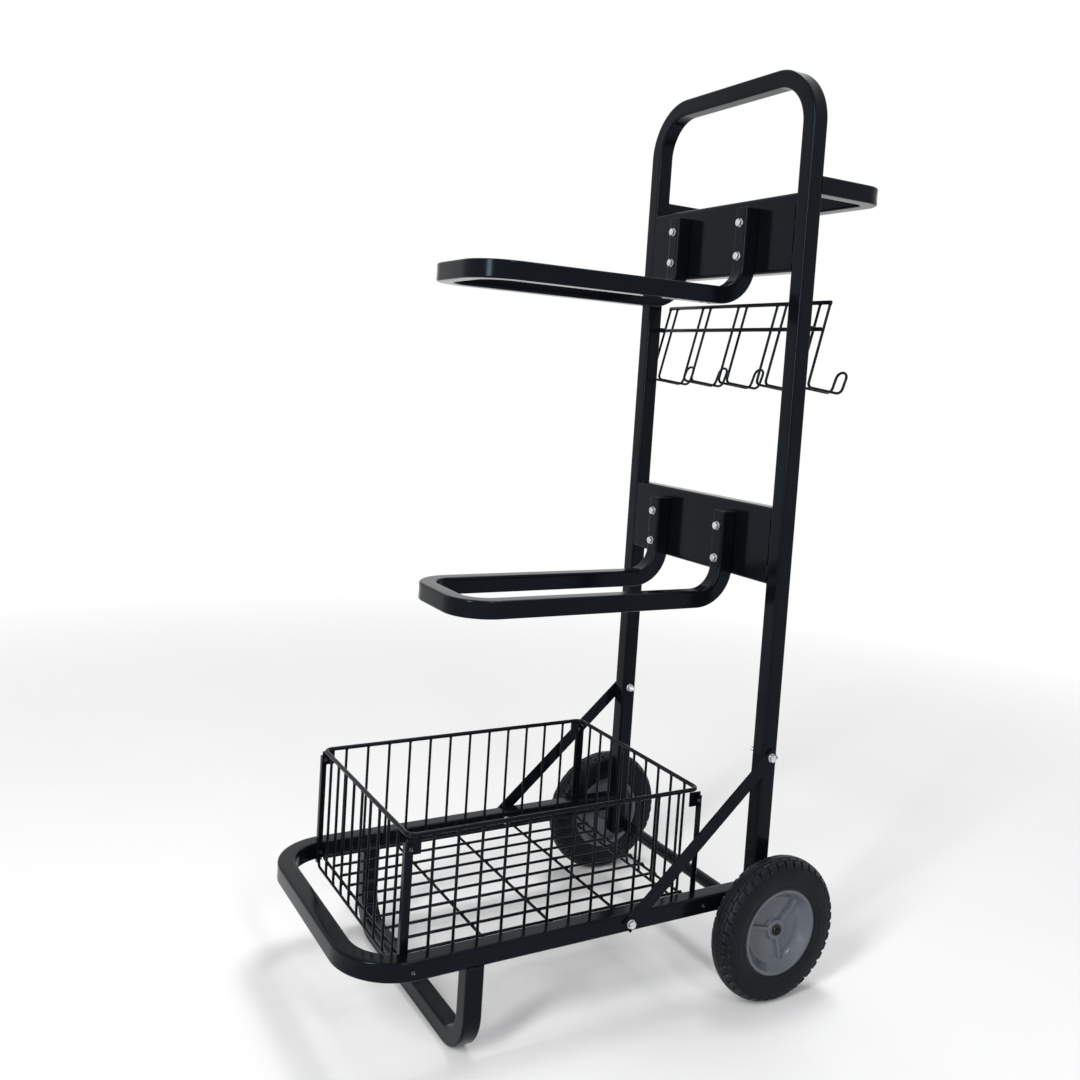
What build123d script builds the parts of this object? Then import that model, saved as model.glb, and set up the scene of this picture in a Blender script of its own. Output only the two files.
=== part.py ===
from build123d import *
import math
import os

# Two-wheeled tack cart: a bent square-tube handle frame on a bent base with a foot,
# two saddle racks, a hanging wire basket, a row of bridle hooks and a push hoop.
# Millimetres. X runs across the cart, -Y is the front, +Z is up, the floor is Z = 0,
# and the origin lies below the middle of the overall box.

# Square tube stock
TUBE = 25.0
TUBE_WALL = 1.5
TUBE_CORNER = 3.0

# Overall frame
FRAME_WIDTH = 390.0
HANDLE_HEIGHT = 1316.0
BASE_LENGTH = 598.0
BASE_CLEARANCE = 126.0
UPRIGHT_BELOW_AXLE = 18.0

# Bend radii at the middle of the tube
HANDLE_BEND = 72.0
BASE_BEND = 72.0
FOOT_BEND = 47.5
HOOP_BEND = 26.0
RACK_BEND = 47.5

# Foot loop below the base, set back from the front bar
FOOT_SETBACK = 147.5

# Push hoop behind the handle frame
HOOP_REACH = 128.0
HOOP_DROP = 180.0

# Folded channels between the uprights, which carry the saddle racks
UPPER_CHANNEL_DROP = 178.0
CHANNEL_SPACING = 443.0
CHANNEL_HEIGHT = 110.0
CHANNEL_DEPTH = 22.0
CHANNEL_WALL = 2.5

# Saddle racks: a loop of tube whose rear legs turn up against the channel
RACK_WIDTH = 190.0
RACK_REACH = 440.0
RACK_DROP = 133.0
RACK_LEG_DROP = 18.0
RACK_BOLT_EDGE = 20.0
RACK_BOLT_SPACING = 48.0

# Bolts, washers and nuts
BOLT_DIA = 6.0
BOLT_HOLE_CLEARANCE = 0.25
HEAD_FLATS = 10.0
HEAD_HEIGHT = 4.0
NUT_HEIGHT = 5.0
NUT_CLEARANCE = 0.1
WASHER_DIA = 12.5
WASHER_THICK = 1.6
RAIL_BOLT_TAIL = 1.0
UPRIGHT_BOLT_TAIL = 9.0
RACK_BOLT_TAIL = 3.0

# Diagonal flat braces between base and uprights
BRACE_WIDTH = 19.0
BRACE_THICK = 3.0
BRACE_END = 8.5
BRACE_RAIL_SETBACK = 211.5
BRACE_UPRIGHT_HEIGHT = 339.0

# Axle and wheels
WHEEL_DIA = 206.0
TYRE_WIDTH = 38.0
WHEEL_GAP = 15.0
AXLE_DIA = 12.7
AXLE_FIT = 0.1
AXLE_TUBE_DIA = 19.0
SPACER_DIA = 20.0
SPACER_PLAY = 0.2
BUSH_DIA = 18.0
BUSH_FIT = 0.05
AXLE_CAP_DIA = 15.0
AXLE_CAP_LENGTH = 4.5
AXLE_CAP_WALL = 2.0
AXLE_CAP_PLAY = 0.3

# Hub moulding
HUB_WIDTH = 34.0
HUB_BARREL_DIA = 116.0
HUB_LIP_DIA = 122.5
HUB_LIP_WIDTH = 2.0
HUB_WALL = 4.0
HUB_MOUTH_DIA = 114.0
HUB_DISH_DIA = 92.0
HUB_WEB_DEPTH = 15.0
HUB_WEB_THICK = 4.0
HUB_BOSS_DIA = 29.0
HUB_BOSS_SETBACK = 9.5
HUB_RIB_COUNT = 3
HUB_RIB_TURN = 45.0
HUB_RIB_THICK = 5.0
HUB_RIB_SETBACK = 10.5
TYRE_SEAT_GAP = 0.05
TYRE_SHOULDER_DROP = 8.0
TREAD_GROOVE_WIDTH = 3.0
TREAD_GROOVE_DEPTH = 4.0
TREAD_GROOVE_OFFSET = 6.0

# Wire basket and its corner posts
BASKET_LENGTH = 447.5
BASKET_RIM_TOP = 297.0
BASKET_BASE_HEIGHT = 116.0
BASKET_FLOOR_HEIGHT = 132.0
FLOOR_CROSS_SPACING = 100.0
RIM_WIRE = 6.0
PANEL_WIRE = 4.0
WIRE_PITCH = 34.2
RIM_CORNER = 12.0
EDGE_TURN_UP = 15.0
EDGE_BEND = 5.0
WELD_GAP = 0.05
POST_LEG = 10.0
POST_WALL = 2.0
POST_BEND = 3.0
POST_TOP_DROP = 12.0
POST_STANDOFF = 2.5
POST_RAIL_GAP = 0.5
POST_SPACER_DIA = 8.0
TAB_LENGTH = 18.0
TAB_HEIGHT = 20.0
TAB_THICK = 2.0
SCREW_DIA = 3.0
SCREW_HOLE_CLEARANCE = 0.2
SCREW_HEAD_DIA = 6.0
SCREW_HEAD_HEIGHT = 2.2
SCREW_NUT_FLATS = 5.5
SCREW_NUT_HEIGHT = 2.4
SCREW_TAIL = 1.0
SCREW_DROP = 6.0

# Bridle hooks on two rails behind the uprights
HOOK_COUNT = 5
HOOK_WIRE = 4.0
HOOK_SPREAD = 20.0
HOOK_RAIL_WIRE = 6.0
HOOK_RAIL_DROP = 326.0
HOOK_TOP_STANDOFF = 34.0
HOOK_MID_DROP = 40.0
HOOK_DROP = 121.0
HOOK_BOTTOM_STANDOFF = 1.6
HOOK_ARM = 64.0
HOOK_ARM_DIP = 7.0
HOOK_TIP_RISE = 31.0
HOOK_TIP_LEAN = 11.0
HOOK_HEEL_BEND = 6.0
HOOK_TOE_BEND = 12.0
STANDOFF_DIA = 8.0

# Plastic plugs in the open tube ends
PLUG_FLANGE = 2.5
PLUG_DEPTH = 8.0
PLUG_FIT = 0.2

# Places that follow from the sizes above
HALF_WIDTH = FRAME_WIDTH / 2
LENGTH = BASE_LENGTH + TUBE + HOOP_REACH
FRONT = -LENGTH / 2
UPRIGHT_FRONT = FRONT + BASE_LENGTH
UPRIGHT_MIDDLE = UPRIGHT_FRONT + TUBE / 2
UPRIGHT_REAR = UPRIGHT_FRONT + TUBE
REAR = UPRIGHT_REAR + HOOP_REACH
HOOP_UNDERSIDE = HANDLE_HEIGHT - HOOP_DROP
UPPER_CHANNEL_TOP = HANDLE_HEIGHT - UPPER_CHANNEL_DROP
LOWER_CHANNEL_TOP = UPPER_CHANNEL_TOP - CHANNEL_SPACING
HOOK_TOP_HEIGHT = HANDLE_HEIGHT - HOOK_RAIL_DROP
HOOK_BOTTOM_HEIGHT = HOOK_TOP_HEIGHT - HOOK_DROP
SIDE_MIDDLE = HALF_WIDTH - TUBE / 2
INNER_FACE = HALF_WIDTH - TUBE
RAIL_MIDDLE = BASE_CLEARANCE + TUBE / 2
RAIL_TOP = BASE_CLEARANCE + TUBE
AXLE_HEIGHT = WHEEL_DIA / 2
UPRIGHT_BOTTOM = AXLE_HEIGHT - UPRIGHT_BELOW_AXLE
WHEEL_MIDDLE = HALF_WIDTH + WHEEL_GAP + TYRE_WIDTH / 2
WHEEL_INNER = WHEEL_MIDDLE - TYRE_WIDTH / 2
HUB_BOSS_FACE = WHEEL_MIDDLE + HUB_WIDTH / 2 - HUB_BOSS_SETBACK
BOLT_HOLE = BOLT_DIA / 2 + BOLT_HOLE_CLEARANCE
SIDES = {"right": 1, "left": -1}

POST_FACE = INNER_FACE - POST_STANDOFF
BASE_INNER_BEND = BASE_BEND - TUBE / 2
POST_INTO_BEND = math.sqrt(BASE_INNER_BEND**2 - (BASE_INNER_BEND - POST_STANDOFF + POST_RAIL_GAP) ** 2)
BASKET_FRONT = FRONT + TUBE / 2 + BASE_BEND - POST_INTO_BEND
BASKET_REAR = BASKET_FRONT + BASKET_LENGTH
BASKET_MIDDLE = (BASKET_FRONT + BASKET_REAR) / 2
RIM_HALF_X = POST_FACE - POST_WALL - RIM_WIRE / 2
RIM_HALF_Y = BASKET_LENGTH / 2 - POST_WALL - RIM_WIRE / 2
RIM_LEVEL = BASKET_RIM_TOP - RIM_WIRE / 2
EDGE_LEVEL = BASKET_BASE_HEIGHT + PANEL_WIRE / 2
FLOOR_LEVEL = BASKET_FLOOR_HEIGHT + PANEL_WIRE / 2
FLOOR_INSET = PANEL_WIRE + WELD_GAP
FLOOR_HALF_X = RIM_HALF_X - FLOOR_INSET
FLOOR_HALF_Y = RIM_HALF_Y - FLOOR_INSET
POST_TOP = BASKET_RIM_TOP - POST_TOP_DROP
SCREW_LEVEL = POST_TOP - SCREW_DROP
SCREW_HOLE = SCREW_DIA / 2 + SCREW_HOLE_CLEARANCE


def tube_section():
    """Cross section of the square tube."""
    bore = TUBE - 2 * TUBE_WALL
    return RectangleRounded(TUBE, TUBE, TUBE_CORNER) - RectangleRounded(bore, bore, TUBE_CORNER - TUBE_WALL)


def bent_tube(points, bend, across):
    """Square tube along a route of straight runs and bends; across is a side of its first section."""
    route = FilletPolyline(*points, radius=bend)
    start = Plane(origin=route @ 0, x_dir=across, z_dir=route % 0)
    return sweep(start * tube_section(), path=route)


def rod(start, end, diameter):
    """Round bar between two points."""
    run = Vector(*end) - Vector(*start)
    return extrude(Plane(origin=start, z_dir=run) * Circle(diameter / 2), run.length)


def ring(start, end, diameter, bore):
    """Round sleeve between two points."""
    run = Vector(*end) - Vector(*start)
    profile = Circle(diameter / 2) - Circle(bore / 2)
    return extrude(Plane(origin=start, z_dir=run) * profile, run.length)


def hexagon(start, direction, flats, height, bore=0.0):
    """Hexagon bar standing on a point, with a bore if it is a nut."""
    profile = RegularPolygon(flats / 2, 6, major_radius=False)
    if bore > 0:
        profile = profile - Circle(bore / 2)
    return extrude(Plane(origin=start, z_dir=direction) * profile, height)


def bolt_set(seat, direction, grip, tail):
    """Bolt, two washers and nut through a stack of thickness grip, from the head's seat along direction."""
    seat = Vector(*seat)
    along = Vector(*direction)
    far = seat + along * grip
    under_head = seat - along * WASHER_THICK
    over_washer = far + along * WASHER_THICK
    end = over_washer + along * (NUT_HEIGHT + tail)
    head = hexagon(under_head, -along, HEAD_FLATS, HEAD_HEIGHT)
    bolt = head + rod(under_head, end, BOLT_DIA)
    washer_bore = 2 * BOLT_HOLE
    washers = [
        ring(under_head, seat, WASHER_DIA, washer_bore),
        ring(far, over_washer, WASHER_DIA, washer_bore),
    ]
    nut = hexagon(over_washer, along, HEAD_FLATS, NUT_HEIGHT, BOLT_DIA + 2 * NUT_CLEARANCE)
    return bolt, washers, nut


def plug(end, into):
    """Square plug in an open tube end; into points into the tube."""
    into = Vector(*into)
    size = TUBE - 2 * TUBE_WALL - 2 * PLUG_FIT
    flange = RectangleRounded(TUBE, TUBE, TUBE_CORNER)
    shank = RectangleRounded(size, size, TUBE_CORNER - TUBE_WALL)
    outward = Plane(origin=end, x_dir=(1, 0, 0), z_dir=-into)
    inward = Plane(origin=end, x_dir=(1, 0, 0), z_dir=into)
    return extrude(outward * flange, PLUG_FLANGE) + extrude(inward * shank, PLUG_DEPTH)


def evenly(half_span, pitch):
    """Places spread evenly inside a span, near a pitch, without the two ends."""
    count = round(2 * half_span / pitch)
    step = 2 * half_span / count
    return [-half_span + step * index for index in range(1, count)]


# Bolt places
brace_rail_y = UPRIGHT_FRONT - BRACE_RAIL_SETBACK
brace_places = [(brace_rail_y, RAIL_MIDDLE), (UPRIGHT_MIDDLE, BRACE_UPRIGHT_HEIGHT)]
rack_leg_x = RACK_WIDTH / 2 - TUBE / 2


def rack_bolt_heights(channel_top):
    """Heights of the two bolts in each upturned leg of a saddle rack."""
    upper = channel_top - RACK_LEG_DROP - RACK_BOLT_EDGE
    return [upper, upper - RACK_BOLT_SPACING]


# Handle frame: an upside-down U, drilled for the brace bolts and the axle
def make_handle_frame():
    top = HANDLE_HEIGHT - TUBE / 2
    points = [
        (-SIDE_MIDDLE, UPRIGHT_MIDDLE, UPRIGHT_BOTTOM),
        (-SIDE_MIDDLE, UPRIGHT_MIDDLE, top),
        (SIDE_MIDDLE, UPRIGHT_MIDDLE, top),
        (SIDE_MIDDLE, UPRIGHT_MIDDLE, UPRIGHT_BOTTOM),
    ]
    frame = bent_tube(points, HANDLE_BEND, (1, 0, 0))
    holes = [(BRACE_UPRIGHT_HEIGHT, BOLT_HOLE), (AXLE_HEIGHT, AXLE_DIA / 2 + AXLE_FIT)]
    for height, radius in holes:
        start = (-FRAME_WIDTH, UPRIGHT_MIDDLE, height)
        end = (FRAME_WIDTH, UPRIGHT_MIDDLE, height)
        frame -= rod(start, end, 2 * radius)
    return frame


# Base frame: a U open to the rear, butted against the uprights
def make_base_frame():
    front = FRONT + TUBE / 2
    points = [
        (-SIDE_MIDDLE, UPRIGHT_FRONT, RAIL_MIDDLE),
        (-SIDE_MIDDLE, front, RAIL_MIDDLE),
        (SIDE_MIDDLE, front, RAIL_MIDDLE),
        (SIDE_MIDDLE, UPRIGHT_FRONT, RAIL_MIDDLE),
    ]
    frame = bent_tube(points, BASE_BEND, (1, 0, 0))
    holes = [(brace_rail_y, BOLT_HOLE), (screw_y(-1), SCREW_HOLE), (screw_y(1), SCREW_HOLE)]
    for y, radius in holes:
        frame -= rod((-FRAME_WIDTH, y, RAIL_MIDDLE), (FRAME_WIDTH, y, RAIL_MIDDLE), 2 * radius)
    return frame


# Foot loop: a U below the rails that stands on the floor
def make_foot_loop():
    y = FRONT + FOOT_SETBACK + TUBE / 2
    points = [
        (-SIDE_MIDDLE, y, BASE_CLEARANCE),
        (-SIDE_MIDDLE, y, TUBE / 2),
        (SIDE_MIDDLE, y, TUBE / 2),
        (SIDE_MIDDLE, y, BASE_CLEARANCE),
    ]
    return bent_tube(points, FOOT_BEND, (1, 0, 0))


# Push hoop: a level U behind the uprights
def make_push_hoop():
    level = HOOP_UNDERSIDE + TUBE / 2
    rear = REAR - TUBE / 2
    points = [
        (-SIDE_MIDDLE, UPRIGHT_REAR, level),
        (-SIDE_MIDDLE, rear, level),
        (SIDE_MIDDLE, rear, level),
        (SIDE_MIDDLE, UPRIGHT_REAR, level),
    ]
    return bent_tube(points, HOOP_BEND, (1, 0, 0))


# Channel: a folded sheet between the uprights, its web flush with their front
def make_channel(top):
    bottom = top - CHANNEL_HEIGHT
    rear = UPRIGHT_FRONT + CHANNEL_DEPTH
    outer = Box(2 * INNER_FACE, CHANNEL_DEPTH, CHANNEL_HEIGHT, align=(Align.CENTER, Align.MIN, Align.MIN))
    outer = Pos(0, UPRIGHT_FRONT, bottom) * outer
    outer = fillet(outer.edges().filter_by(Axis.X).group_by(Axis.Y)[0], 2 * CHANNEL_WALL)
    hollow_height = CHANNEL_HEIGHT - 2 * CHANNEL_WALL
    hollow = Box(2 * INNER_FACE, CHANNEL_DEPTH, hollow_height, align=(Align.CENTER, Align.MIN, Align.MIN))
    hollow = Pos(0, UPRIGHT_FRONT + CHANNEL_WALL, bottom + CHANNEL_WALL) * hollow
    hollow = fillet(hollow.edges().filter_by(Axis.X).group_by(Axis.Y)[0], CHANNEL_WALL)
    channel = outer - hollow
    for x in (-rack_leg_x, rack_leg_x):
        for height in rack_bolt_heights(top):
            channel -= rod((x, UPRIGHT_FRONT - TUBE, height), (x, rear, height), 2 * BOLT_HOLE)
    return channel


# Saddle rack: one tube, up-turned leg, arm, front bar, arm, up-turned leg
def make_saddle_rack(channel_top):
    leg_y = UPRIGHT_FRONT - TUBE / 2
    leg_top = channel_top - RACK_LEG_DROP
    level = channel_top - RACK_DROP - TUBE / 2
    front = UPRIGHT_FRONT - RACK_REACH + TUBE / 2
    points = [
        (-rack_leg_x, leg_y, leg_top),
        (-rack_leg_x, leg_y, level),
        (-rack_leg_x, front, level),
        (rack_leg_x, front, level),
        (rack_leg_x, leg_y, level),
        (rack_leg_x, leg_y, leg_top),
    ]
    rack = bent_tube(points, RACK_BEND, (1, 0, 0))
    for x in (-rack_leg_x, rack_leg_x):
        for height in rack_bolt_heights(channel_top):
            rack -= rod((x, leg_y - TUBE, height), (x, UPRIGHT_FRONT, height), 2 * BOLT_HOLE)
    return rack


# Brace: a flat bar with square ends, bolted to the outside of rail and upright
def make_brace(side):
    lower = Vector(0, *brace_places[0])
    upper = Vector(0, *brace_places[1])
    run = upper - lower
    length = run.length + 2 * BRACE_END
    angle = math.degrees(math.atan2(run.Z, run.Y))
    face = Plane(origin=(side * HALF_WIDTH, 0, 0), x_dir=(0, 1, 0), z_dir=(side, 0, 0))
    middle = (lower + upper) * 0.5
    outline = Pos(middle.Y, side * middle.Z) * Rot(0, 0, side * angle) * Rectangle(length, BRACE_WIDTH)
    bar = extrude(face * outline, BRACE_THICK)
    for y, z in brace_places:
        bar -= rod((0, y, z), (side * FRAME_WIDTH, y, z), 2 * BOLT_HOLE)
    return bar


# Wheel pieces are made about a Z axis with the outside up, then laid on the axle
def wheel_place(side):
    centre = (side * WHEEL_MIDDLE, UPRIGHT_MIDDLE, AXLE_HEIGHT)
    return Plane(origin=centre, x_dir=(0, 1, 0), z_dir=(side, 0, 0))


def make_hub():
    half = HUB_WIDTH / 2
    barrel = HUB_BARREL_DIA / 2
    lip = HUB_LIP_DIA / 2
    inside = barrel - HUB_WALL
    boss = HUB_BOSS_DIA / 2
    boss_top = half - HUB_BOSS_SETBACK
    web_top = half - HUB_WEB_DEPTH
    web_back = web_top - HUB_WEB_THICK
    lip_inner = half - HUB_LIP_WIDTH
    rim_profile = Polyline(
        (HUB_MOUTH_DIA / 2, half),
        (lip, half),
        (lip, lip_inner),
        (barrel, lip_inner),
        (barrel, -lip_inner),
        (lip, -lip_inner),
        (lip, -half),
        (inside, -half),
        (inside, web_back),
        (HUB_DISH_DIA / 2, web_top),
        close=True,
    )
    rim = revolve(Plane.XZ * make_face(rim_profile), Axis.Z)
    web = Cylinder(inside + HUB_WALL / 2, HUB_WEB_THICK, align=(Align.CENTER, Align.CENTER, Align.MAX))
    middle = Cylinder(boss, TYRE_WIDTH / 2 + boss_top, align=(Align.CENTER, Align.CENTER, Align.MAX))
    hub = rim + Pos(0, 0, web_top) * web + Pos(0, 0, boss_top) * middle
    rib_height = HUB_WEB_DEPTH - HUB_RIB_SETBACK + HUB_WEB_THICK / 2
    rib_length = inside + HUB_WALL / 2
    rib = Box(rib_length, HUB_RIB_THICK, rib_height, align=(Align.MIN, Align.CENTER, Align.MAX))
    for index in range(HUB_RIB_COUNT):
        turn = 360.0 / HUB_RIB_COUNT * index + HUB_RIB_TURN
        hub += Rot(0, 0, turn) * Pos(0, 0, half - HUB_RIB_SETBACK) * rib
    bore = BUSH_DIA / 2 + BUSH_FIT
    return hub - Cylinder(bore, 2 * TYRE_WIDTH)


def make_tyre():
    half = TYRE_WIDTH / 2
    radius = WHEEL_DIA / 2
    seat = HUB_BARREL_DIA / 2 + TYRE_SEAT_GAP
    lip = HUB_LIP_DIA / 2 + TYRE_SEAT_GAP
    bead = HUB_WIDTH / 2 - HUB_LIP_WIDTH - TYRE_SEAT_GAP
    shoulder = radius - TYRE_SHOULDER_DROP
    waist = (lip + shoulder) / 2
    side = bead + HUB_LIP_WIDTH
    outline = [
        Line((seat, -bead), (seat, bead)),
        Line((seat, bead), (lip, bead)),
        Line((lip, bead), (lip, side)),
        ThreePointArc((lip, side), (waist, half), (shoulder, side)),
        ThreePointArc((shoulder, side), (radius, 0), (shoulder, -side)),
        ThreePointArc((shoulder, -side), (waist, -half), (lip, -side)),
        Line((lip, -side), (lip, -bead)),
        Line((lip, -bead), (seat, -bead)),
    ]
    tyre = revolve(Plane.XZ * make_face(Curve() + outline), Axis.Z)
    groove_root = radius - TREAD_GROOVE_DEPTH
    for height in (-TREAD_GROOVE_OFFSET, TREAD_GROOVE_OFFSET):
        groove = Circle(radius + TREAD_GROOVE_DEPTH) - Circle(groove_root)
        tyre -= Pos(0, 0, height - TREAD_GROOVE_WIDTH / 2) * extrude(groove, TREAD_GROOVE_WIDTH)
    return tyre


def make_bush():
    start = (0, 0, -TYRE_WIDTH / 2)
    end = (0, 0, HUB_WIDTH / 2 - HUB_BOSS_SETBACK)
    return ring(start, end, BUSH_DIA, AXLE_DIA + 2 * AXLE_FIT)


# Axle cap: a pressed cup over the end of the axle
def make_axle_cap(side):
    inner = HUB_BOSS_FACE + AXLE_CAP_PLAY
    outer = inner + AXLE_CAP_LENGTH
    start = (side * inner, UPRIGHT_MIDDLE, AXLE_HEIGHT)
    cap = rod(start, (side * outer, UPRIGHT_MIDDLE, AXLE_HEIGHT), AXLE_CAP_DIA)
    outside = cap.faces().sort_by(Axis.X)[-1 if side > 0 else 0]
    cap = fillet(outside.edges(), AXLE_CAP_WALL)
    bottom = (side * (outer - AXLE_CAP_WALL), UPRIGHT_MIDDLE, AXLE_HEIGHT)
    return cap - rod(start, bottom, AXLE_DIA + 2 * AXLE_FIT)


# Basket wires
def make_wire_loop(half_x, half_y, corner, level, wire):
    """Closed rounded loop of wire at a level."""
    outline = RectangleRounded(2 * half_x, 2 * half_y, corner).wire()
    loop = Plane((0, BASKET_MIDDLE, level)) * outline
    section = Plane(origin=(half_x, BASKET_MIDDLE, level), z_dir=(0, 1, 0)) * Circle(wire / 2)
    return sweep(section, path=loop)


def make_upright_wires(places, bottom):
    """Panel wires that end under the rim."""
    top = RIM_LEVEL - RIM_WIRE / 2 - WELD_GAP
    return [rod((x, y, bottom), (x, y, top), PANEL_WIRE) for x, y in places]


def make_edge_wire(y):
    """Wire below the uprights of an end panel, with its ends turned up at the corners."""
    top = EDGE_LEVEL + EDGE_TURN_UP
    route = FilletPolyline(
        (-RIM_HALF_X, y, top),
        (-RIM_HALF_X, y, EDGE_LEVEL),
        (RIM_HALF_X, y, EDGE_LEVEL),
        (RIM_HALF_X, y, top),
        radius=EDGE_BEND,
    )
    section = Plane(origin=route @ 0, z_dir=route % 0) * Circle(PANEL_WIRE / 2)
    return sweep(section, path=route)


side_places = [BASKET_MIDDLE + offset for offset in evenly(RIM_HALF_Y, WIRE_PITCH)]
end_places = evenly(RIM_HALF_X, WIRE_PITCH)
cross_places = [BASKET_MIDDLE + FLOOR_CROSS_SPACING * step for step in (-1, 0, 1)]
edge_places = [-RIM_HALF_X, *end_places, RIM_HALF_X]
long_places = [(first + second) / 2 for first, second in zip(edge_places, edge_places[1:])]


def make_cross_wires():
    """Floor wires across the basket, between the sides of the floor ring."""
    reach = FLOOR_HALF_X - PANEL_WIRE / 2 - WELD_GAP
    return [rod((-reach, y, FLOOR_LEVEL), (reach, y, FLOOR_LEVEL), PANEL_WIRE) for y in cross_places]


def make_long_wires():
    """Floor wires along the basket, on top of the floor ring and the cross wires."""
    level = FLOOR_LEVEL + PANEL_WIRE + WELD_GAP
    front = BASKET_MIDDLE - FLOOR_HALF_Y
    rear = BASKET_MIDDLE + FLOOR_HALF_Y
    return [rod((x, front, level), (x, rear, level), PANEL_WIRE) for x in long_places]


# Corner post: an angle strip on the inside of a rail that holds one corner of the basket
def corner_y(end):
    return BASKET_FRONT if end < 0 else BASKET_REAR


def screw_y(end):
    return corner_y(end) - end * (POST_LEG + POST_BEND) / 2


def screw_hole(side, end, level):
    y = screw_y(end)
    return rod((0, y, level), (side * FRAME_WIDTH, y, level), 2 * SCREW_HOLE)


def make_post(side, end):
    align_x = Align.MAX if side > 0 else Align.MIN
    align_y = Align.MIN if end < 0 else Align.MAX
    block = Box(POST_LEG, POST_LEG, POST_TOP - BASE_CLEARANCE, align=(align_x, align_y, Align.MIN))
    angle = block - Pos(-side * POST_WALL, -end * POST_WALL, 0) * block
    middle = (POST_TOP - BASE_CLEARANCE) / 2
    outer_fold = angle.edges().filter_by(Axis.Z).sort_by_distance((0, 0, middle))[0]
    angle = fillet(outer_fold, POST_BEND)
    inside = (-side * POST_WALL, -end * POST_WALL, middle)
    inner_fold = angle.edges().filter_by(Axis.Z).sort_by_distance(inside)[0]
    angle = fillet(inner_fold, POST_BEND - POST_WALL)
    angle = Pos(side * POST_FACE, corner_y(end), BASE_CLEARANCE) * angle
    return angle - screw_hole(side, end, SCREW_LEVEL) - screw_hole(side, end, RAIL_MIDDLE)


# Tab: a small plate under the rim wire that the post's upper screw holds
def make_tab(side, end):
    x = side * (POST_FACE - POST_WALL - TAB_THICK / 2)
    top = RIM_LEVEL - RIM_WIRE / 2
    align_y = Align.MIN if end < 0 else Align.MAX
    tab = Box(TAB_THICK, TAB_LENGTH, TAB_HEIGHT, align=(Align.CENTER, align_y, Align.MAX))
    return Pos(x, corner_y(end) - end * POST_BEND, top) * tab - screw_hole(side, end, SCREW_LEVEL)


def make_screw(side, end, level, face, grip):
    """Round-headed screw whose head seats on a face across the cart and whose tail points inward."""
    y = screw_y(end)
    seat = (side * face, y, level)
    head = rod(seat, (side * (face + SCREW_HEAD_HEIGHT), y, level), SCREW_HEAD_DIA)
    outside = head.faces().sort_by(Axis.X)[-1 if side > 0 else 0]
    head = fillet(outside.edges(), SCREW_HEAD_HEIGHT / 2)
    return head + rod(seat, (side * (face - grip - SCREW_NUT_HEIGHT - SCREW_TAIL), y, level), SCREW_DIA)


def make_screw_nut(side, end, level, face):
    start = (side * face, screw_y(end), level)
    return hexagon(start, (-side, 0, 0), SCREW_NUT_FLATS, SCREW_NUT_HEIGHT, SCREW_DIA + 2 * NUT_CLEARANCE)


# Bridle hooks: each a doubled wire that runs down from the top rail, turns back and ends in a loop
hook_top = Vector(0, UPRIGHT_REAR + HOOK_TOP_STANDOFF, HOOK_TOP_HEIGHT)
hook_heel = Vector(0, UPRIGHT_REAR + HOOK_BOTTOM_STANDOFF + HOOK_WIRE / 2, HOOK_BOTTOM_HEIGHT)
hook_toe = hook_heel + Vector(0, HOOK_ARM, -HOOK_ARM_DIP)
hook_tip = hook_toe + Vector(0, HOOK_TIP_LEAN, HOOK_TIP_RISE)
hook_slope = (hook_top - hook_heel).normalized()
hook_reach = SIDE_MIDDLE + HOOK_SPREAD / 2
hook_places = [SIDE_MIDDLE * (2 * index / (HOOK_COUNT - 1) - 1) for index in range(HOOK_COUNT)]
rail_offset = (HOOK_WIRE + HOOK_RAIL_WIRE) / 2 + WELD_GAP
mid_rail_share = 1 - HOOK_MID_DROP / HOOK_DROP
hook_front = Vector(0, -hook_slope.Z, hook_slope.Y)
hook_mid = hook_heel + (hook_top - hook_heel) * mid_rail_share + hook_front * rail_offset


def make_hook(x):
    start = hook_top - hook_slope * (HOOK_RAIL_WIRE / 2 + WELD_GAP)
    half = HOOK_SPREAD / 2
    profile = [start, hook_heel, hook_toe, hook_tip]
    points = [point + Vector(x - half, 0, 0) for point in profile]
    points += [point + Vector(x + half, 0, 0) for point in reversed(profile)]
    tip_bend = half - HOOK_WIRE / 8
    radii = [HOOK_HEEL_BEND, HOOK_TOE_BEND, tip_bend, tip_bend, HOOK_TOE_BEND, HOOK_HEEL_BEND]
    route = FilletPolyline(*points, radius=radii)
    section = Plane(origin=route @ 0, z_dir=route % 0) * Circle(HOOK_WIRE / 2)
    return sweep(section, path=route)


def make_hook_rail(centre):
    reach = Vector(hook_reach + HOOK_WIRE / 2, 0, 0)
    return rod(centre - reach, centre + reach, HOOK_RAIL_WIRE)


def make_standoff(side):
    end = hook_mid.Y - HOOK_RAIL_WIRE / 2 - WELD_GAP
    x = side * SIDE_MIDDLE
    return rod((x, UPRIGHT_REAR, hook_mid.Z), (x, end, hook_mid.Z), STANDOFF_DIA)


# Assembly: every node's solids by name
base_frame = make_base_frame()
nodes = {
    "handle_frame": [make_handle_frame()],
    "base_frame": [base_frame],
    "foot_loop": [make_foot_loop()],
    "push_hoop": [make_push_hoop()],
}

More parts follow.
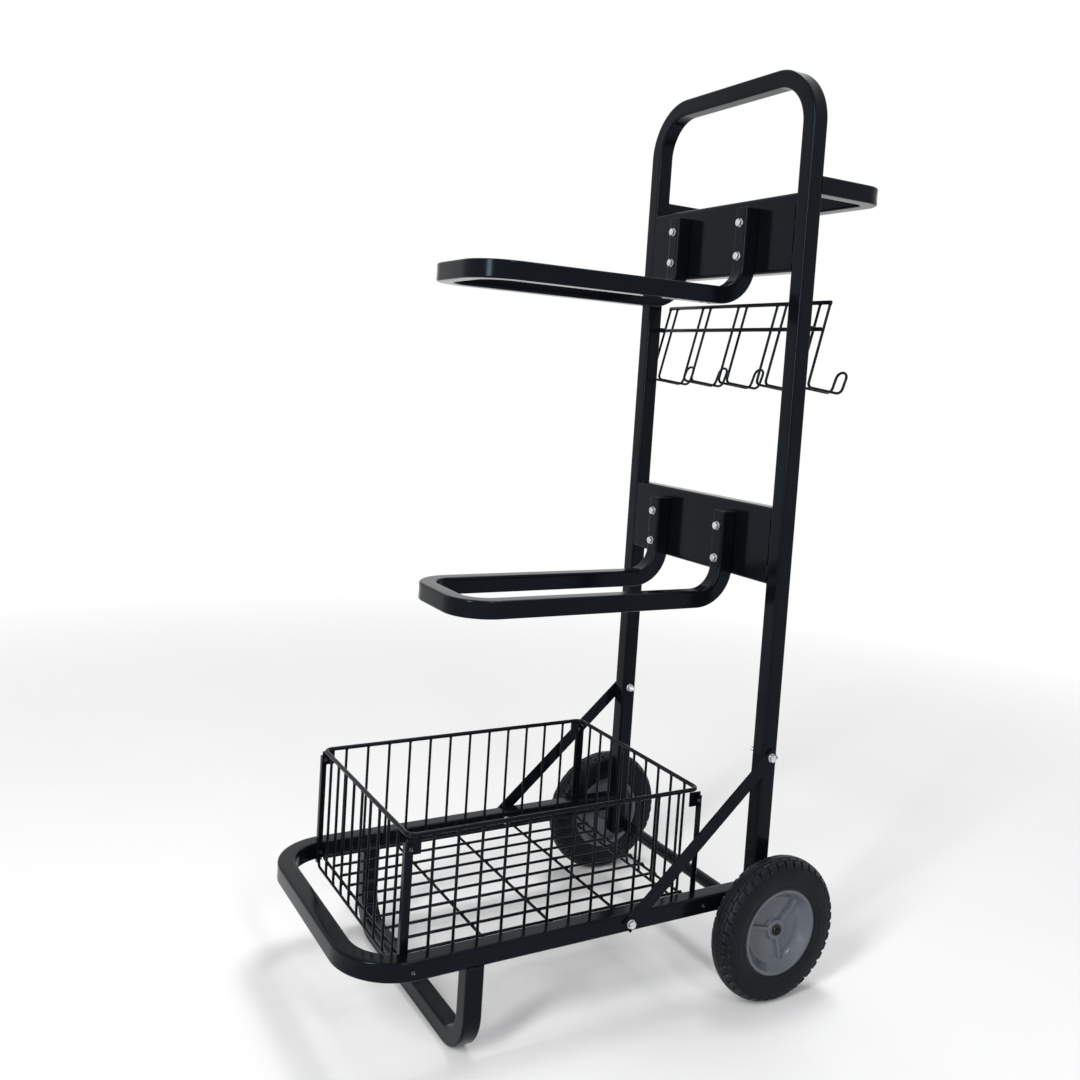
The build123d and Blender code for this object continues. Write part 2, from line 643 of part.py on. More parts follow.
rack_bolts, rack_washers, rack_nuts, rack_plugs = [], [], [], []
for name, channel_top in {"upper": UPPER_CHANNEL_TOP, "lower": LOWER_CHANNEL_TOP}.items():
    nodes[f"{name}_saddle_channel"] = [make_channel(channel_top)]
    nodes[f"{name}_saddle_rack"] = [make_saddle_rack(channel_top)]
    for leg_x in (-rack_leg_x, rack_leg_x):
        leg_end = (leg_x, UPRIGHT_FRONT - TUBE / 2, channel_top - RACK_LEG_DROP)
        rack_plugs.append(plug(leg_end, (0, 0, -1)))
        for bolt_height in rack_bolt_heights(channel_top):
            seat = (leg_x, UPRIGHT_FRONT - TUBE, bolt_height)
            bolt, washers, nut = bolt_set(seat, (0, 1, 0), TUBE + CHANNEL_WALL, RACK_BOLT_TAIL)
            rack_bolts.append(bolt)
            rack_washers += washers
            rack_nuts.append(nut)
nodes["rack_bolts"] = rack_bolts
nodes["rack_washers"] = rack_washers
nodes["rack_nuts"] = rack_nuts
nodes["rack_end_plugs"] = rack_plugs

brace_bolts, brace_washers, brace_nuts, upright_plugs = [], [], [], []
for name, side in SIDES.items():
    nodes[f"brace_{name}"] = [make_brace(side)]
    for (y, z), tail in zip(brace_places, (RAIL_BOLT_TAIL, UPRIGHT_BOLT_TAIL)):
        seat = (side * (HALF_WIDTH + BRACE_THICK), y, z)
        bolt, washers, nut = bolt_set(seat, (-side, 0, 0), BRACE_THICK + TUBE, tail)
        brace_bolts.append(bolt)
        brace_washers += washers
        brace_nuts.append(nut)
    upright_plugs.append(plug((side * SIDE_MIDDLE, UPRIGHT_MIDDLE, UPRIGHT_BOTTOM), (0, 0, 1)))
nodes["brace_bolts"] = brace_bolts
nodes["brace_washers"] = brace_washers
nodes["brace_nuts"] = brace_nuts
nodes["upright_end_plugs"] = upright_plugs

axle_end = HUB_BOSS_FACE + AXLE_CAP_PLAY + AXLE_CAP_LENGTH - AXLE_CAP_WALL - AXLE_FIT
nodes["axle"] = [
    rod((-axle_end, UPRIGHT_MIDDLE, AXLE_HEIGHT), (axle_end, UPRIGHT_MIDDLE, AXLE_HEIGHT), AXLE_DIA)
]
nodes["axle_tube"] = [
    ring(
        (-INNER_FACE, UPRIGHT_MIDDLE, AXLE_HEIGHT),
        (INNER_FACE, UPRIGHT_MIDDLE, AXLE_HEIGHT),
        AXLE_TUBE_DIA,
        AXLE_DIA + 2 * AXLE_FIT,
    )
]
hub, tyre, bush = make_hub(), make_tyre(), make_bush()
for name, side in SIDES.items():
    place = wheel_place(side)
    nodes[f"wheel_hub_{name}"] = [place * hub]
    nodes[f"wheel_tyre_{name}"] = [place * tyre]
    nodes[f"wheel_bush_{name}"] = [place * bush]
    nodes[f"wheel_spacer_{name}"] = [
        ring(
            (side * HALF_WIDTH, UPRIGHT_MIDDLE, AXLE_HEIGHT),
            (side * (WHEEL_INNER - SPACER_PLAY), UPRIGHT_MIDDLE, AXLE_HEIGHT),
            SPACER_DIA,
            AXLE_DIA + 2 * AXLE_FIT,
        )
    ]
    nodes[f"axle_cap_{name}"] = [make_axle_cap(side)]

nodes["basket_rim"] = [make_wire_loop(RIM_HALF_X, RIM_HALF_Y, RIM_CORNER, RIM_LEVEL, RIM_WIRE)]
floor_corner = RIM_CORNER - FLOOR_INSET
floor_ring = make_wire_loop(FLOOR_HALF_X, FLOOR_HALF_Y, floor_corner, FLOOR_LEVEL, PANEL_WIRE)
nodes["basket_floor_ring"] = [floor_ring]
for name, side in SIDES.items():
    places = [(side * RIM_HALF_X, y) for y in side_places]
    nodes[f"basket_{name}_wires"] = make_upright_wires(places, BASKET_FLOOR_HEIGHT)
for name, end in {"front": -1, "rear": 1}.items():
    panel_y = BASKET_MIDDLE + end * RIM_HALF_Y
    end_bottom = EDGE_LEVEL + PANEL_WIRE / 2 + WELD_GAP
    uprights = make_upright_wires([(x, panel_y) for x in end_places], end_bottom)
    nodes[f"basket_{name}_wires"] = [*uprights, make_edge_wire(panel_y)]
nodes["basket_cross_wires"] = make_cross_wires()
nodes["basket_long_wires"] = make_long_wires()
tabs, rim_screws, rim_screw_nuts = [], [], []
post_screws, post_screw_nuts, post_spacers = [], [], []
post_inside = POST_FACE - POST_WALL
for end_name, end in {"front": -1, "rear": 1}.items():
    for name, side in SIDES.items():
        nodes[f"basket_post_{end_name}_{name}"] = [make_post(side, end)]
        tabs.append(make_tab(side, end))
        rim_screws.append(make_screw(side, end, SCREW_LEVEL, POST_FACE, POST_WALL + TAB_THICK))
        rim_screw_nuts.append(make_screw_nut(side, end, SCREW_LEVEL, post_inside - TAB_THICK))
        post_grip = TUBE + POST_STANDOFF + POST_WALL
        post_screws.append(make_screw(side, end, RAIL_MIDDLE, HALF_WIDTH, post_grip))
        post_screw_nuts.append(make_screw_nut(side, end, RAIL_MIDDLE, post_inside))
        spacer_outer = (side * INNER_FACE, screw_y(end), RAIL_MIDDLE)
        spacer_inner = (side * POST_FACE, screw_y(end), RAIL_MIDDLE)
        spacer = ring(spacer_outer, spacer_inner, POST_SPACER_DIA, 2 * SCREW_HOLE)
        post_spacers.append(spacer - base_frame)
nodes["basket_tabs"] = tabs
nodes["basket_rim_screws"] = rim_screws
nodes["basket_rim_screw_nuts"] = rim_screw_nuts
nodes["basket_post_screws"] = post_screws
nodes["basket_post_screw_nuts"] = post_screw_nuts
nodes["basket_post_spacers"] = post_spacers

nodes["hook_top_rail"] = [make_hook_rail(hook_top)]
nodes["hook_mid_rail"] = [make_hook_rail(hook_mid)]
for index, x in enumerate(hook_places, start=1):
    nodes[f"bridle_hook_{index}"] = [make_hook(x)]
nodes["hook_standoffs"] = [make_standoff(side) for side in SIDES.values()]

os.makedirs("parts", exist_ok=True)
for name, solids in nodes.items():
    shape = solids[0] if len(solids) == 1 else Compound(children=solids)
    export_step(shape, f"parts/{name}.step")
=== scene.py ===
import math
import random

import bmesh
import bpy
from mathutils import Matrix, Vector


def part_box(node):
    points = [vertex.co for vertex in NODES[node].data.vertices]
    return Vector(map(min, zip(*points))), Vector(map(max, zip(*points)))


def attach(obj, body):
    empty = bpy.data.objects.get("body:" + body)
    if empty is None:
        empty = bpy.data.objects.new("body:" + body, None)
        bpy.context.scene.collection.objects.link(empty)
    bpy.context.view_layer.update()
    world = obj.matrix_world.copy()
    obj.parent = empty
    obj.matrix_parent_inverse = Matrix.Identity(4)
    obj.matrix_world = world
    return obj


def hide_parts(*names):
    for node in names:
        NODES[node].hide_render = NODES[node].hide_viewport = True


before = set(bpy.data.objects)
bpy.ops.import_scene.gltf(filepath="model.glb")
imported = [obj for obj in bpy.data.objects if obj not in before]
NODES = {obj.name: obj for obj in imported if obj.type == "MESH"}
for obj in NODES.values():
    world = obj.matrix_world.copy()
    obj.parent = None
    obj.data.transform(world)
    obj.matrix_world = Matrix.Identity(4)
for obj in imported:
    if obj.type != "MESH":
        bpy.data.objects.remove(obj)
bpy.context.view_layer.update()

SCENE = bpy.context.scene
MM = 0.001


# Materials

def new_material(name):
    material = bpy.data.materials.new(name)
    material.use_nodes = True
    tree = material.node_tree
    shader = tree.nodes["Principled BSDF"]
    return material, tree, shader


def link(tree, a, b):
    tree.links.new(a, b)


def put(node, **values):
    """Sets a node's inputs by name, with _ for each space."""
    for name, value in values.items():
        node.inputs[name.replace("_", " ")].default_value = value


def noise(tree, scale, detail=4.0, roughness=0.55):
    coords = tree.nodes.new("ShaderNodeTexCoord")
    texture = tree.nodes.new("ShaderNodeTexNoise")
    put(texture, Scale=scale, Detail=detail, Roughness=roughness)
    link(tree, coords.outputs["Object"], texture.inputs["Vector"])
    return texture


def ramp(tree, source, stops):
    node = tree.nodes.new("ShaderNodeValToRGB")
    elements = node.color_ramp.elements
    while len(elements) < len(stops):
        elements.new(0.5)
    for element, (place, colour) in zip(elements, stops):
        element.position = place
        element.color = (*colour, 1.0)
    link(tree, source, node.inputs["Fac"])
    return node


def span(tree, source, low, high, new_low, new_high):
    node = tree.nodes.new("ShaderNodeMapRange")
    put(node, From_Min=low, From_Max=high, To_Min=new_low, To_Max=new_high)
    link(tree, source, node.inputs["Value"])
    return node.outputs["Result"]


def bump(tree, shader, texture, strength, distance):
    node = tree.nodes.new("ShaderNodeBump")
    put(node, Strength=strength, Distance=distance)
    link(tree, texture.outputs["Fac"], node.inputs["Height"])
    link(tree, node.outputs["Normal"], shader.inputs["Normal"])


def mottle(tree, shader, texture, stops):
    """Base colour that wanders between the stops."""
    colour = ramp(tree, texture.outputs["Fac"], stops)
    link(tree, colour.outputs["Color"], shader.inputs["Base Color"])


def gloss(tree, shader, texture, low, high):
    """Roughness that wanders between low and high."""
    link(tree, span(tree, texture.outputs["Fac"], 0.3, 0.7, low, high), shader.inputs["Roughness"])


def make_powder_coat():
    material, tree, shader = new_material("powder_coat_black")
    stops = [(0.3, (0.0024, 0.0030, 0.0040)), (0.7, (0.0042, 0.0050, 0.0064))]
    mottle(tree, shader, noise(tree, 9.0, 3.0), stops)
    gloss(tree, shader, noise(tree, 26.0, 5.0), 0.11, 0.19)
    put(shader, Specular_IOR_Level=0.10, Specular_Tint=(0.60, 0.80, 1.0, 1.0))
    bump(tree, shader, noise(tree, 700.0, 2.0), 0.08, 0.0002)
    return material


def make_zinc(name, tint, rough):
    material, tree, shader = new_material(name)
    dark = tuple(channel * 0.78 for channel in tint)
    mottle(tree, shader, noise(tree, 160.0), [(0.3, dark), (0.65, tint)])
    put(shader, Metallic=1.0)
    grain = noise(tree, 420.0, 3.0)
    gloss(tree, shader, grain, rough - 0.06, rough + 0.08)
    bump(tree, shader, grain, 0.08, 0.0002)
    return material


def make_plastic(name, dark, light, rough, grain_scale, grain_strength, level=0.5):
    material, tree, shader = new_material(name)
    put(shader, Specular_IOR_Level=level)
    mottle(tree, shader, noise(tree, 22.0), [(0.3, dark), (0.7, light)])
    gloss(tree, shader, noise(tree, 60.0), rough - 0.06, rough + 0.06)
    bump(tree, shader, noise(tree, grain_scale, 2.0), grain_strength, 0.0003)
    return material


def make_rubber():
    """Black rubber whose raised edges are painted lighter grey: partly rubbed wear, partly a painted
    highlight.
    """
    material, tree, shader = new_material("tyre_rubber")
    cloud = noise(tree, 40.0, 6.0, 0.65)
    stops = [
        (0.35, (0.0032, 0.0037, 0.0046)),
        (0.6, (0.0052, 0.0058, 0.0070)),
        (0.85, (0.0120, 0.0128, 0.0142)),
    ]
    colour = ramp(tree, cloud.outputs["Fac"], stops)
    edges = tree.nodes.new("ShaderNodeNewGeometry")
    # raised tread edges painted lighter grey: partly rubbed wear, partly a painted highlight where the
    # edges catch light
    rubbed_edge_and_highlight = tree.nodes.new("ShaderNodeMix")
    rubbed_edge_and_highlight.data_type = "RGBA"
    put(rubbed_edge_and_highlight, B=(0.055, 0.058, 0.063, 1.0))
    link(tree, span(tree, edges.outputs["Pointiness"], 0.52, 0.60, 0.0, 1.0), rubbed_edge_and_highlight.inputs["Factor"])
    link(tree, colour.outputs["Color"], rubbed_edge_and_highlight.inputs["A"])
    link(tree, rubbed_edge_and_highlight.outputs["Result"], shader.inputs["Base Color"])
    gloss(tree, shader, noise(tree, 130.0, 5.0), 0.34, 0.52)
    put(shader, Specular_IOR_Level=0.13, Specular_Tint=(0.70, 0.85, 1.0, 1.0))
    bump(tree, shader, noise(tree, 700.0, 3.0), 0.2, 0.0004)
    return material


PAINT = make_powder_coat()
ZINC = make_zinc("bright_zinc", (0.66, 0.67, 0.68), rough=0.30)
SCREW = make_zinc("black_zinc", (0.055, 0.057, 0.060), rough=0.24)
STEEL = make_zinc("axle_steel", (0.45, 0.45, 0.46), rough=0.36)
HUB_TINTS = (0.072, 0.082, 0.099), (0.094, 0.106, 0.127)
CAP_TINTS = (0.005, 0.005, 0.006), (0.009, 0.009, 0.010)
NYLON_TINTS = (0.060, 0.062, 0.066), (0.080, 0.082, 0.087)
HUB = make_plastic("hub_grey", *HUB_TINTS, rough=0.20, grain_scale=900.0, grain_strength=0.025, level=0.40)
CAP = make_plastic("black_plastic", *CAP_TINTS, rough=0.34, grain_scale=500.0, grain_strength=0.06,
                   level=0.08)
NYLON = make_plastic("grey_nylon", *NYLON_TINTS, rough=0.42, grain_scale=400.0, grain_strength=0.08)
RUBBER = make_rubber()


# Mesh helpers

WELD_DISTANCE = 2e-6
FLAT_ANGLE = 1.0
BEVEL_ANGLE = 35.0
BEVEL_SEGMENTS = 2
SMOOTH_ANGLE = 40.0


def shade(work, angle):
    """Smooth shading, with a sharp line where faces meet at angle degrees or more."""
    for face in work.faces:
        face.smooth = True
    for edge in work.edges:
        if len(edge.link_faces) == 2:
            edge.smooth = edge.calc_face_angle(0.0) < math.radians(angle)


def to_object(name, mesh, work, material):
    work.to_mesh(mesh)
    work.free()
    mesh.materials.append(material)
    obj = bpy.data.objects.new(name, mesh)
    SCENE.collection.objects.link(obj)
    return obj


def mesh_object(name, verts, faces, material, smooth_angle=SMOOTH_ANGLE):
    mesh = bpy.data.meshes.new(name)
    mesh.from_pydata([tuple(v) for v in verts], [], faces)
    mesh.update()
    work = bmesh.new()
    work.from_mesh(mesh)
    bmesh.ops.recalc_face_normals(work, faces=work.faces)
    shade(work, smooth_angle)
    return to_object(name, mesh, work, material)


def merge(name, parts, material, smooth_angle=SMOOTH_ANGLE):
    """One object from several (verts, faces) lists."""
    verts, faces = [], []
    for part_verts, part_faces in parts:
        base = len(verts)
        verts += part_verts
        faces += [tuple(base + i for i in face) for face in part_faces]
    return mesh_object(name, verts, faces, material, smooth_angle)


def strip_faces(rows, count, wrap=False):
    """Quads between rings of count points; wrap joins the last ring to the first."""
    faces = []
    for r in range(rows if wrap else rows - 1):
        a, b = r * count, (r + 1) % rows * count
        for k in range(count):
            m = (k + 1) % count
            faces.append((a + k, a + m, b + m, b + k))
    return faces


def end_faces(rows, count):
    """Flat faces that close the first and the last ring."""
    return [tuple(range(count - 1, -1, -1)), tuple(range((rows - 1) * count, rows * count))]


def turn_point(x_axis, y_axis, a):
    return x_axis * math.cos(a) + y_axis * math.sin(a)


def route(points, radii, steps):
    """Points, tangents and bend marks along straight runs joined by round bends."""
    points = [Vector(p) for p in points]
    if not isinstance(radii, (list, tuple)):
        radii = [radii] * (len(points) - 2)
    out = [(points[0], (points[1] - points[0]).normalized(), 0.0, None)]
    for i in range(1, len(points) - 1):
        before_dir = (points[i] - points[i - 1]).normalized()
        after_dir = (points[i + 1] - points[i]).normalized()
        turn = before_dir.angle(after_dir)
        radius = radii[i - 1]
        reach = radius * math.tan(turn / 2)
        start = points[i] - before_dir * reach
        inward = (after_dir - before_dir * before_dir.dot(after_dir)).normalized()
        centre = start + inward * radius
        for k in range(steps + 1):
            a = turn * k / steps
            place = centre - inward * (radius * math.cos(a)) + before_dir * (radius * math.sin(a))
            tangent = turn_point(before_dir, inward, a)
            out.append((place, tangent, math.sin(math.pi * k / steps), (centre - place).normalized()))
    out.append((points[-1], (points[-1] - points[-2]).normalized(), 0.0, None))
    return out


WALL_SHARE = 0.6
INNER_WALL_CRUSH = 0.4


def dent(offset, centre, depth, half):
    """How far a bend draws in a square tube's outer wall, and a little of its inner wall."""
    out = -centre.dot(offset)
    across = (offset + centre * out).length / half
    hollow = depth * max(0.0, 1 - across * across)
    if out > WALL_SHARE * half:
        return centre * hollow
    if out < -WALL_SHARE * half:
        return centre * (-INNER_WALL_CRUSH * hollow)
    return Vector((0, 0, 0))


def sweep(stations, section, side, closed=False, crush=0.0, half=0.0):
    """Carries a section of 2-D points along stations; side is its first x direction."""
    verts = []
    x_axis = Vector(side)
    last = stations[0][1]
    for place, tangent, amount, centre in stations:
        x_axis = last.rotation_difference(tangent) @ x_axis
        x_axis = (x_axis - tangent * x_axis.dot(tangent)).normalized()
        last = tangent
        y_axis = tangent.cross(x_axis)
        for u, v in section:
            offset = x_axis * u + y_axis * v
            if crush and centre is not None:
                offset += dent(offset, centre, crush * amount, half)
            verts.append(place + offset)
    faces = strip_faces(len(stations), len(section), wrap=closed)
    if not closed:
        faces += end_faces(len(stations), len(section))
    return verts, faces


def circle(radius, count):
    angles = [math.tau * k / count for k in range(count)]
    return [(radius * math.cos(a), radius * math.sin(a)) for a in angles]


def rounded_square(half, radius, steps=6, flats=5):
    points = []
    for corner in range(4):
        a0 = math.pi / 2 * corner
        cx = (half - radius) * (1 if corner in (0, 3) else -1)
        cy = (half - radius) * (1 if corner in (0, 1) else -1)
        for k in range(steps + 1):
            a = a0 + math.pi / 2 * k / steps
            points.append((cx + radius * math.cos(a), cy + radius * math.sin(a)))
        nx, ny = points[-1]
        turn = a0 + math.pi / 2
        along = (-math.sin(turn), math.cos(turn))
        run = 2 * (half - radius)
        for k in range(1, flats):
            points.append((nx + along[0] * run * k / flats, ny + along[1] * run * k / flats))
    return points


def soft_bar(start, direction, side, length, radius, count, ends):
    """Round bar with drawn-in ends; ends lists (distance from the end, share of the radius)."""
    y_axis = direction.cross(side)
    places = ends + [(length - d, scale) for d, scale in reversed(ends)]
    verts = []
    for h, scale in places:
        verts += [start + direction * h + (side * u + y_axis * v) * scale for u, v in circle(radius, count)]
    return verts, strip_faces(len(places), count) + end_faces(len(places), count)


def lathe(profile, axis_place, axis, start_side, count):
    """Turns a closed (radius, height) outline about an axis; a point on the axis is kept once."""
    axis = Vector(axis).normalized()
    x_axis = Vector(start_side)
    y_axis = axis.cross(x_axis)
    verts, faces, places = [], [], {}
    n = len(profile)
    for k in range(count):
        radial = turn_point(x_axis, y_axis, math.tau * k / count)
        for i, (r, h) in enumerate(profile):
            if r == 0.0 and k > 0:
                places[k, i] = places[0, i]
                continue
            places[k, i] = len(verts)
            verts.append(Vector(axis_place) + radial * r + axis * h)
    for k in range(count):
        m = (k + 1) % count
        for i in range(n):
            j = (i + 1) % n
            corners = list(dict.fromkeys([places[k, i], places[k, j], places[m, j], places[m, i]]))
            if len(corners) > 2:
                faces.append(tuple(corners))
    return verts, faces


def soften(profile, radius, steps):
    """Rounds the corners of a closed (radius, height) outline."""
    out = []
    n = len(profile)
    for i in range(n):
        p = Vector((*profile[i], 0))
        a = Vector((*profile[i - 1], 0)) - p
        b = Vector((*profile[(i + 1) % n], 0)) - p
        r = min(radius, 0.45 * a.length, 0.45 * b.length)
        start, end = p + a.normalized() * r, p + b.normalized() * r
        for k in range(steps + 1):
            t = k / steps
            q = start * (1 - t) ** 2 + p * (2 * t * (1 - t)) + end * t ** 2
            out.append((q.x, q.y))
    return out


def show(obj, body, slot, *nodes):
    """The piece rides on a body and hides the CAD nodes it stands for; slot is not used."""
    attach(obj, body)
    if nodes:
        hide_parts(*nodes)
    return obj


def painted(obj, *nodes):
    return show(obj, "cart", "frame_paint", *nodes)


def plated(obj, *nodes):
    return show(obj, "cart", "zinc_steel", *nodes)


def refine(node, body, slot, material, bevel):
    """A cleaned copy of a CAD node's mesh with softened edges."""
    source = NODES[node]
    work = bmesh.new()
    work.from_mesh(source.data)
    work.transform(source.matrix_world)
    bmesh.ops.remove_doubles(work, verts=work.verts, dist=WELD_DISTANCE)
    bmesh.ops.dissolve_limit(work, angle_limit=math.radians(FLAT_ANGLE), verts=work.verts, edges=work.edges)
    limit = math.radians(BEVEL_ANGLE)
    sharp = [e for e in work.edges if len(e.link_faces) == 2 and e.calc_face_angle(0.0) > limit]
    if bevel:
        bmesh.ops.bevel(work, geom=sharp, offset=bevel, segments=BEVEL_SEGMENTS, profile=0.5,
                        affect="EDGES", clamp_overlap=True)
    shade(work, SMOOTH_ANGLE)
    obj = to_object(node + "_look", bpy.data.meshes.new(node + "_look"), work, material)
    weighted = obj.modifiers.new("flat_faces", "WEIGHTED_NORMAL")
    weighted.weight = 100
    weighted.keep_sharp = True
    return show(obj, body, slot, node)


def refine_painted(node, bevel):
    return refine(node, "cart", "frame_paint", PAINT, bevel)


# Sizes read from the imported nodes

def size(node):
    low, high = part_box(node)
    return Vector(low), Vector(high)


handle_low, handle_high = size("handle_frame")
base_low, base_high = size("base_frame")
foot_low, foot_high = size("foot_loop")
hoop_low, hoop_high = size("push_hoop")
ring_low, ring_high = size("basket_floor_ring")
top_low, top_high = size("hook_top_rail")
TUBE = base_high.z - base_low.z
HALF = TUBE / 2
TUBE_CORNER = 3 * MM
SQUARE = rounded_square(HALF, TUBE_CORNER)
CRUSH = 0.9 * MM
side_x = handle_high.x - HALF
upright_y = (handle_low.y + handle_high.y) / 2


# Frame tubes

HANDLE_BEND = 72 * MM
BASE_BEND = 72 * MM
FOOT_BEND = 47.5 * MM
HOOP_BEND = 26 * MM
RACK_BEND = 47.5 * MM
TUBE_BEND_STEPS = 20
TUBE_SMOOTH_ANGLE = 50


def bent_tube(name, points, bend, node):
    swept = sweep(route(points, bend, TUBE_BEND_STEPS), SQUARE, (1, 0, 0), crush=CRUSH, half=HALF)
    return painted(mesh_object(name, *swept, PAINT, TUBE_SMOOTH_ANGLE), node)


def u_tube(name, end, corner, bend, node):
    """Tube bent to a U between the two sides; end and corner are (y, z) on its middle line."""
    points = [(-side_x, *end), (-side_x, *corner), (side_x, *corner), (side_x, *end)]
    return bent_tube(name, points, bend, node)


handle_corner = (upright_y, handle_high.z - HALF)
u_tube("handle_tube", (upright_y, handle_low.z), handle_corner, HANDLE_BEND, "handle_frame")
base_z = base_low.z + HALF
u_tube("base_tube", (base_high.y, base_z), (base_low.y + HALF, base_z), BASE_BEND, "base_frame")
foot_y = (foot_low.y + foot_high.y) / 2
u_tube("foot_tube", (foot_y, foot_high.z), (foot_y, foot_low.z + HALF), FOOT_BEND, "foot_loop")
hoop_z = (hoop_low.z + hoop_high.z) / 2
u_tube("hoop_tube", (hoop_low.y, hoop_z), (hoop_high.y - HALF, hoop_z), HOOP_BEND, "push_hoop")
for level in ("upper", "lower"):
    node = level + "_saddle_rack"
    low, high = size(node)
    x, y_leg, y_front, z_arm = high.x - HALF, high.y - HALF, low.y + HALF, low.z + HALF
    points = [(-x, y_leg, high.z), (-x, y_leg, z_arm), (-x, y_front, z_arm)]
    points += [(-px, py, pz) for px, py, pz in reversed(points)]
    bent_tube(level + "_rack_tube", points, RACK_BEND, node)
    refine_painted(level + "_saddle_channel", bevel=0.5 * MM)

# Flat bars, angles and end plugs
for side in ("right", "left"):
    refine_painted("brace_" + side, bevel=0.6 * MM)
    for end in ("front", "rear"):
        refine_painted(f"basket_post_{end}_{side}", bevel=0.3 * MM)
refine_painted("basket_tabs", bevel=0.3 * MM)
for node in ("rack_end_plugs", "upright_end_plugs"):
    refine(node, "cart", "black_plastic", CAP, bevel=0.6 * MM)


# Fasteners

HEAD_FLATS = 10 * MM
HEAD_HEIGHT = 4 * MM
BOLT_DIA = 6 * MM
BOLT_PITCH = 1 * MM
WASHER_BORE = 6.5 * MM
WASHER_EDGE = 0.35 * MM
WASHER_EDGE_STEPS = 2
WASHER_COUNT = 40
NUT_BORE = 6.2 * MM
SCREW_DIA = 3 * MM
SCREW_PITCH = 0.6 * MM
SCREW_HEAD_HEIGHT = 2.2 * MM
SCREW_NUT_BORE = 3.2 * MM
HEX_COUNT = 48
HEX_CHAMFER_SHARE = 0.95
HEX_CHAMFER_ANGLE = math.radians(30)
HEX_SMOOTH_ANGLE = 30
THREAD_COUNT = 20
THREAD_STEPS = 6
THREAD_DEPTH = 0.17
THREAD_TIP_TAPER = 0.7


def hexagon(place, axis, flats, height, bore=0.0):
    """Hexagon with a turned chamfer on its outer end."""
    x_axis = axis.orthogonal().normalized()
    y_axis = axis.cross(x_axis)
    inner = flats / 2 * HEX_CHAMFER_SHARE
    top = place + axis * height
    rows = [[], [], []]
    for k in range(HEX_COUNT):
        a = math.tau * k / HEX_COUNT
        wedge = (a + math.pi / 6) % (math.pi / 3) - math.pi / 6
        reach = flats / 2 / math.cos(wedge)
        radial = turn_point(x_axis, y_axis, a)
        drop = (reach - inner) * math.tan(HEX_CHAMFER_ANGLE)
        rows[0].append(place + radial * reach)
        rows[1].append(place + radial * reach + axis * (height - drop))
        rows[2].append(top + radial * inner)
    if bore:
        rows.append([top + (p - top) * (bore / 2 / inner) for p in rows[2]])
        rows.append([p - axis * height for p in rows[3]])
    faces = strip_faces(len(rows), HEX_COUNT, wrap=bool(bore))
    if not bore:
        faces += end_faces(len(rows), HEX_COUNT)
    return [p for row in rows for p in row], faces


def thread(start, end, radius, pitch):
    """Threaded bar with a tapered tip."""
    axis = (end - start).normalized()
    x_axis = axis.orthogonal().normalized()
    y_axis = axis.cross(x_axis)
    length = (end - start).length
    rows = max(4, int(length / pitch * THREAD_STEPS))
    verts = []
    for r in range(rows + 1):
        h = length * r / rows
        taper = max(0.0, h - (length - pitch)) * THREAD_TIP_TAPER
        for k in range(THREAD_COUNT):
            wave = abs(((h / pitch - k / THREAD_COUNT) % 1.0) * 2 - 1)
            reach = radius - THREAD_DEPTH * radius * wave - taper
            radial = turn_point(x_axis, y_axis, math.tau * k / THREAD_COUNT)
            verts.append(start + axis * h + radial * reach)
    return verts, strip_faces(rows + 1, THREAD_COUNT) + end_faces(rows + 1, THREAD_COUNT)


def solids_of(node):
    """Boxes of the separate solids in a node."""
    source = NODES[node]
    work = bmesh.new()
    work.from_mesh(source.data)
    bmesh.ops.remove_doubles(work, verts=work.verts, dist=WELD_DISTANCE)
    seen, boxes = set(), []
    for vert in work.verts:
        if vert in seen:
            continue
        stack, group = [vert], []
        seen.add(vert)
        while stack:
            v = stack.pop()
            group.append(source.matrix_world @ v.co)
            for edge in v.link_edges:
                other = edge.other_vert(v)
                if other not in seen:
                    seen.add(other)
                    stack.append(other)
        low = Vector([min(p[i] for p in group) for i in range(3)])
        high = Vector([max(p[i] for p in group) for i in range(3)])
        boxes.append((low, high))
    work.free()
    return boxes


def outward(node, low, high):
    """From a fastener's tail to its head: to the front on the racks, else away from the middle."""
    if node.startswith("rack"):
        return Vector((0, -1, 0))
    return Vector((1 if low.x + high.x > 0 else -1, 0, 0))


def bolts(node):
    parts = []
    for low, high in solids_of(node):
        middle = (low + high) / 2
        out = outward(node, low, high)
        half = max(high - low) / 2
        seat = middle + out * half - out * HEAD_HEIGHT
        parts.append(hexagon(seat, out, HEAD_FLATS, HEAD_HEIGHT))
        parts.append(thread(seat, middle - out * half, BOLT_DIA / 2, BOLT_PITCH))
    return parts


def washers(node, bore):
    parts = []
    for low, high in solids_of(node):
        spans = high - low
        axis = min(range(3), key=lambda i: spans[i])
        direction = Vector([1.0 if i == axis else 0.0 for i in range(3)])
        radius = max(spans) / 2
        h = spans[axis] / 2
        outline = [(bore / 2, -h), (radius, -h), (radius, h), (bore / 2, h)]
        outline = soften(outline, WASHER_EDGE, WASHER_EDGE_STEPS)
        side = direction.orthogonal().normalized()
        parts.append(lathe(outline, (low + high) / 2, direction, side, WASHER_COUNT))
    return parts


def nuts(node, bore):
    parts = []
    for low, high in solids_of(node):
        spans = high - low
        height = min(spans)
        direction = -outward(node, low, high)
        seat = (low + high) / 2 - direction * (height / 2)
        parts.append(hexagon(seat, direction, sorted(spans)[1], height, bore))
    return parts


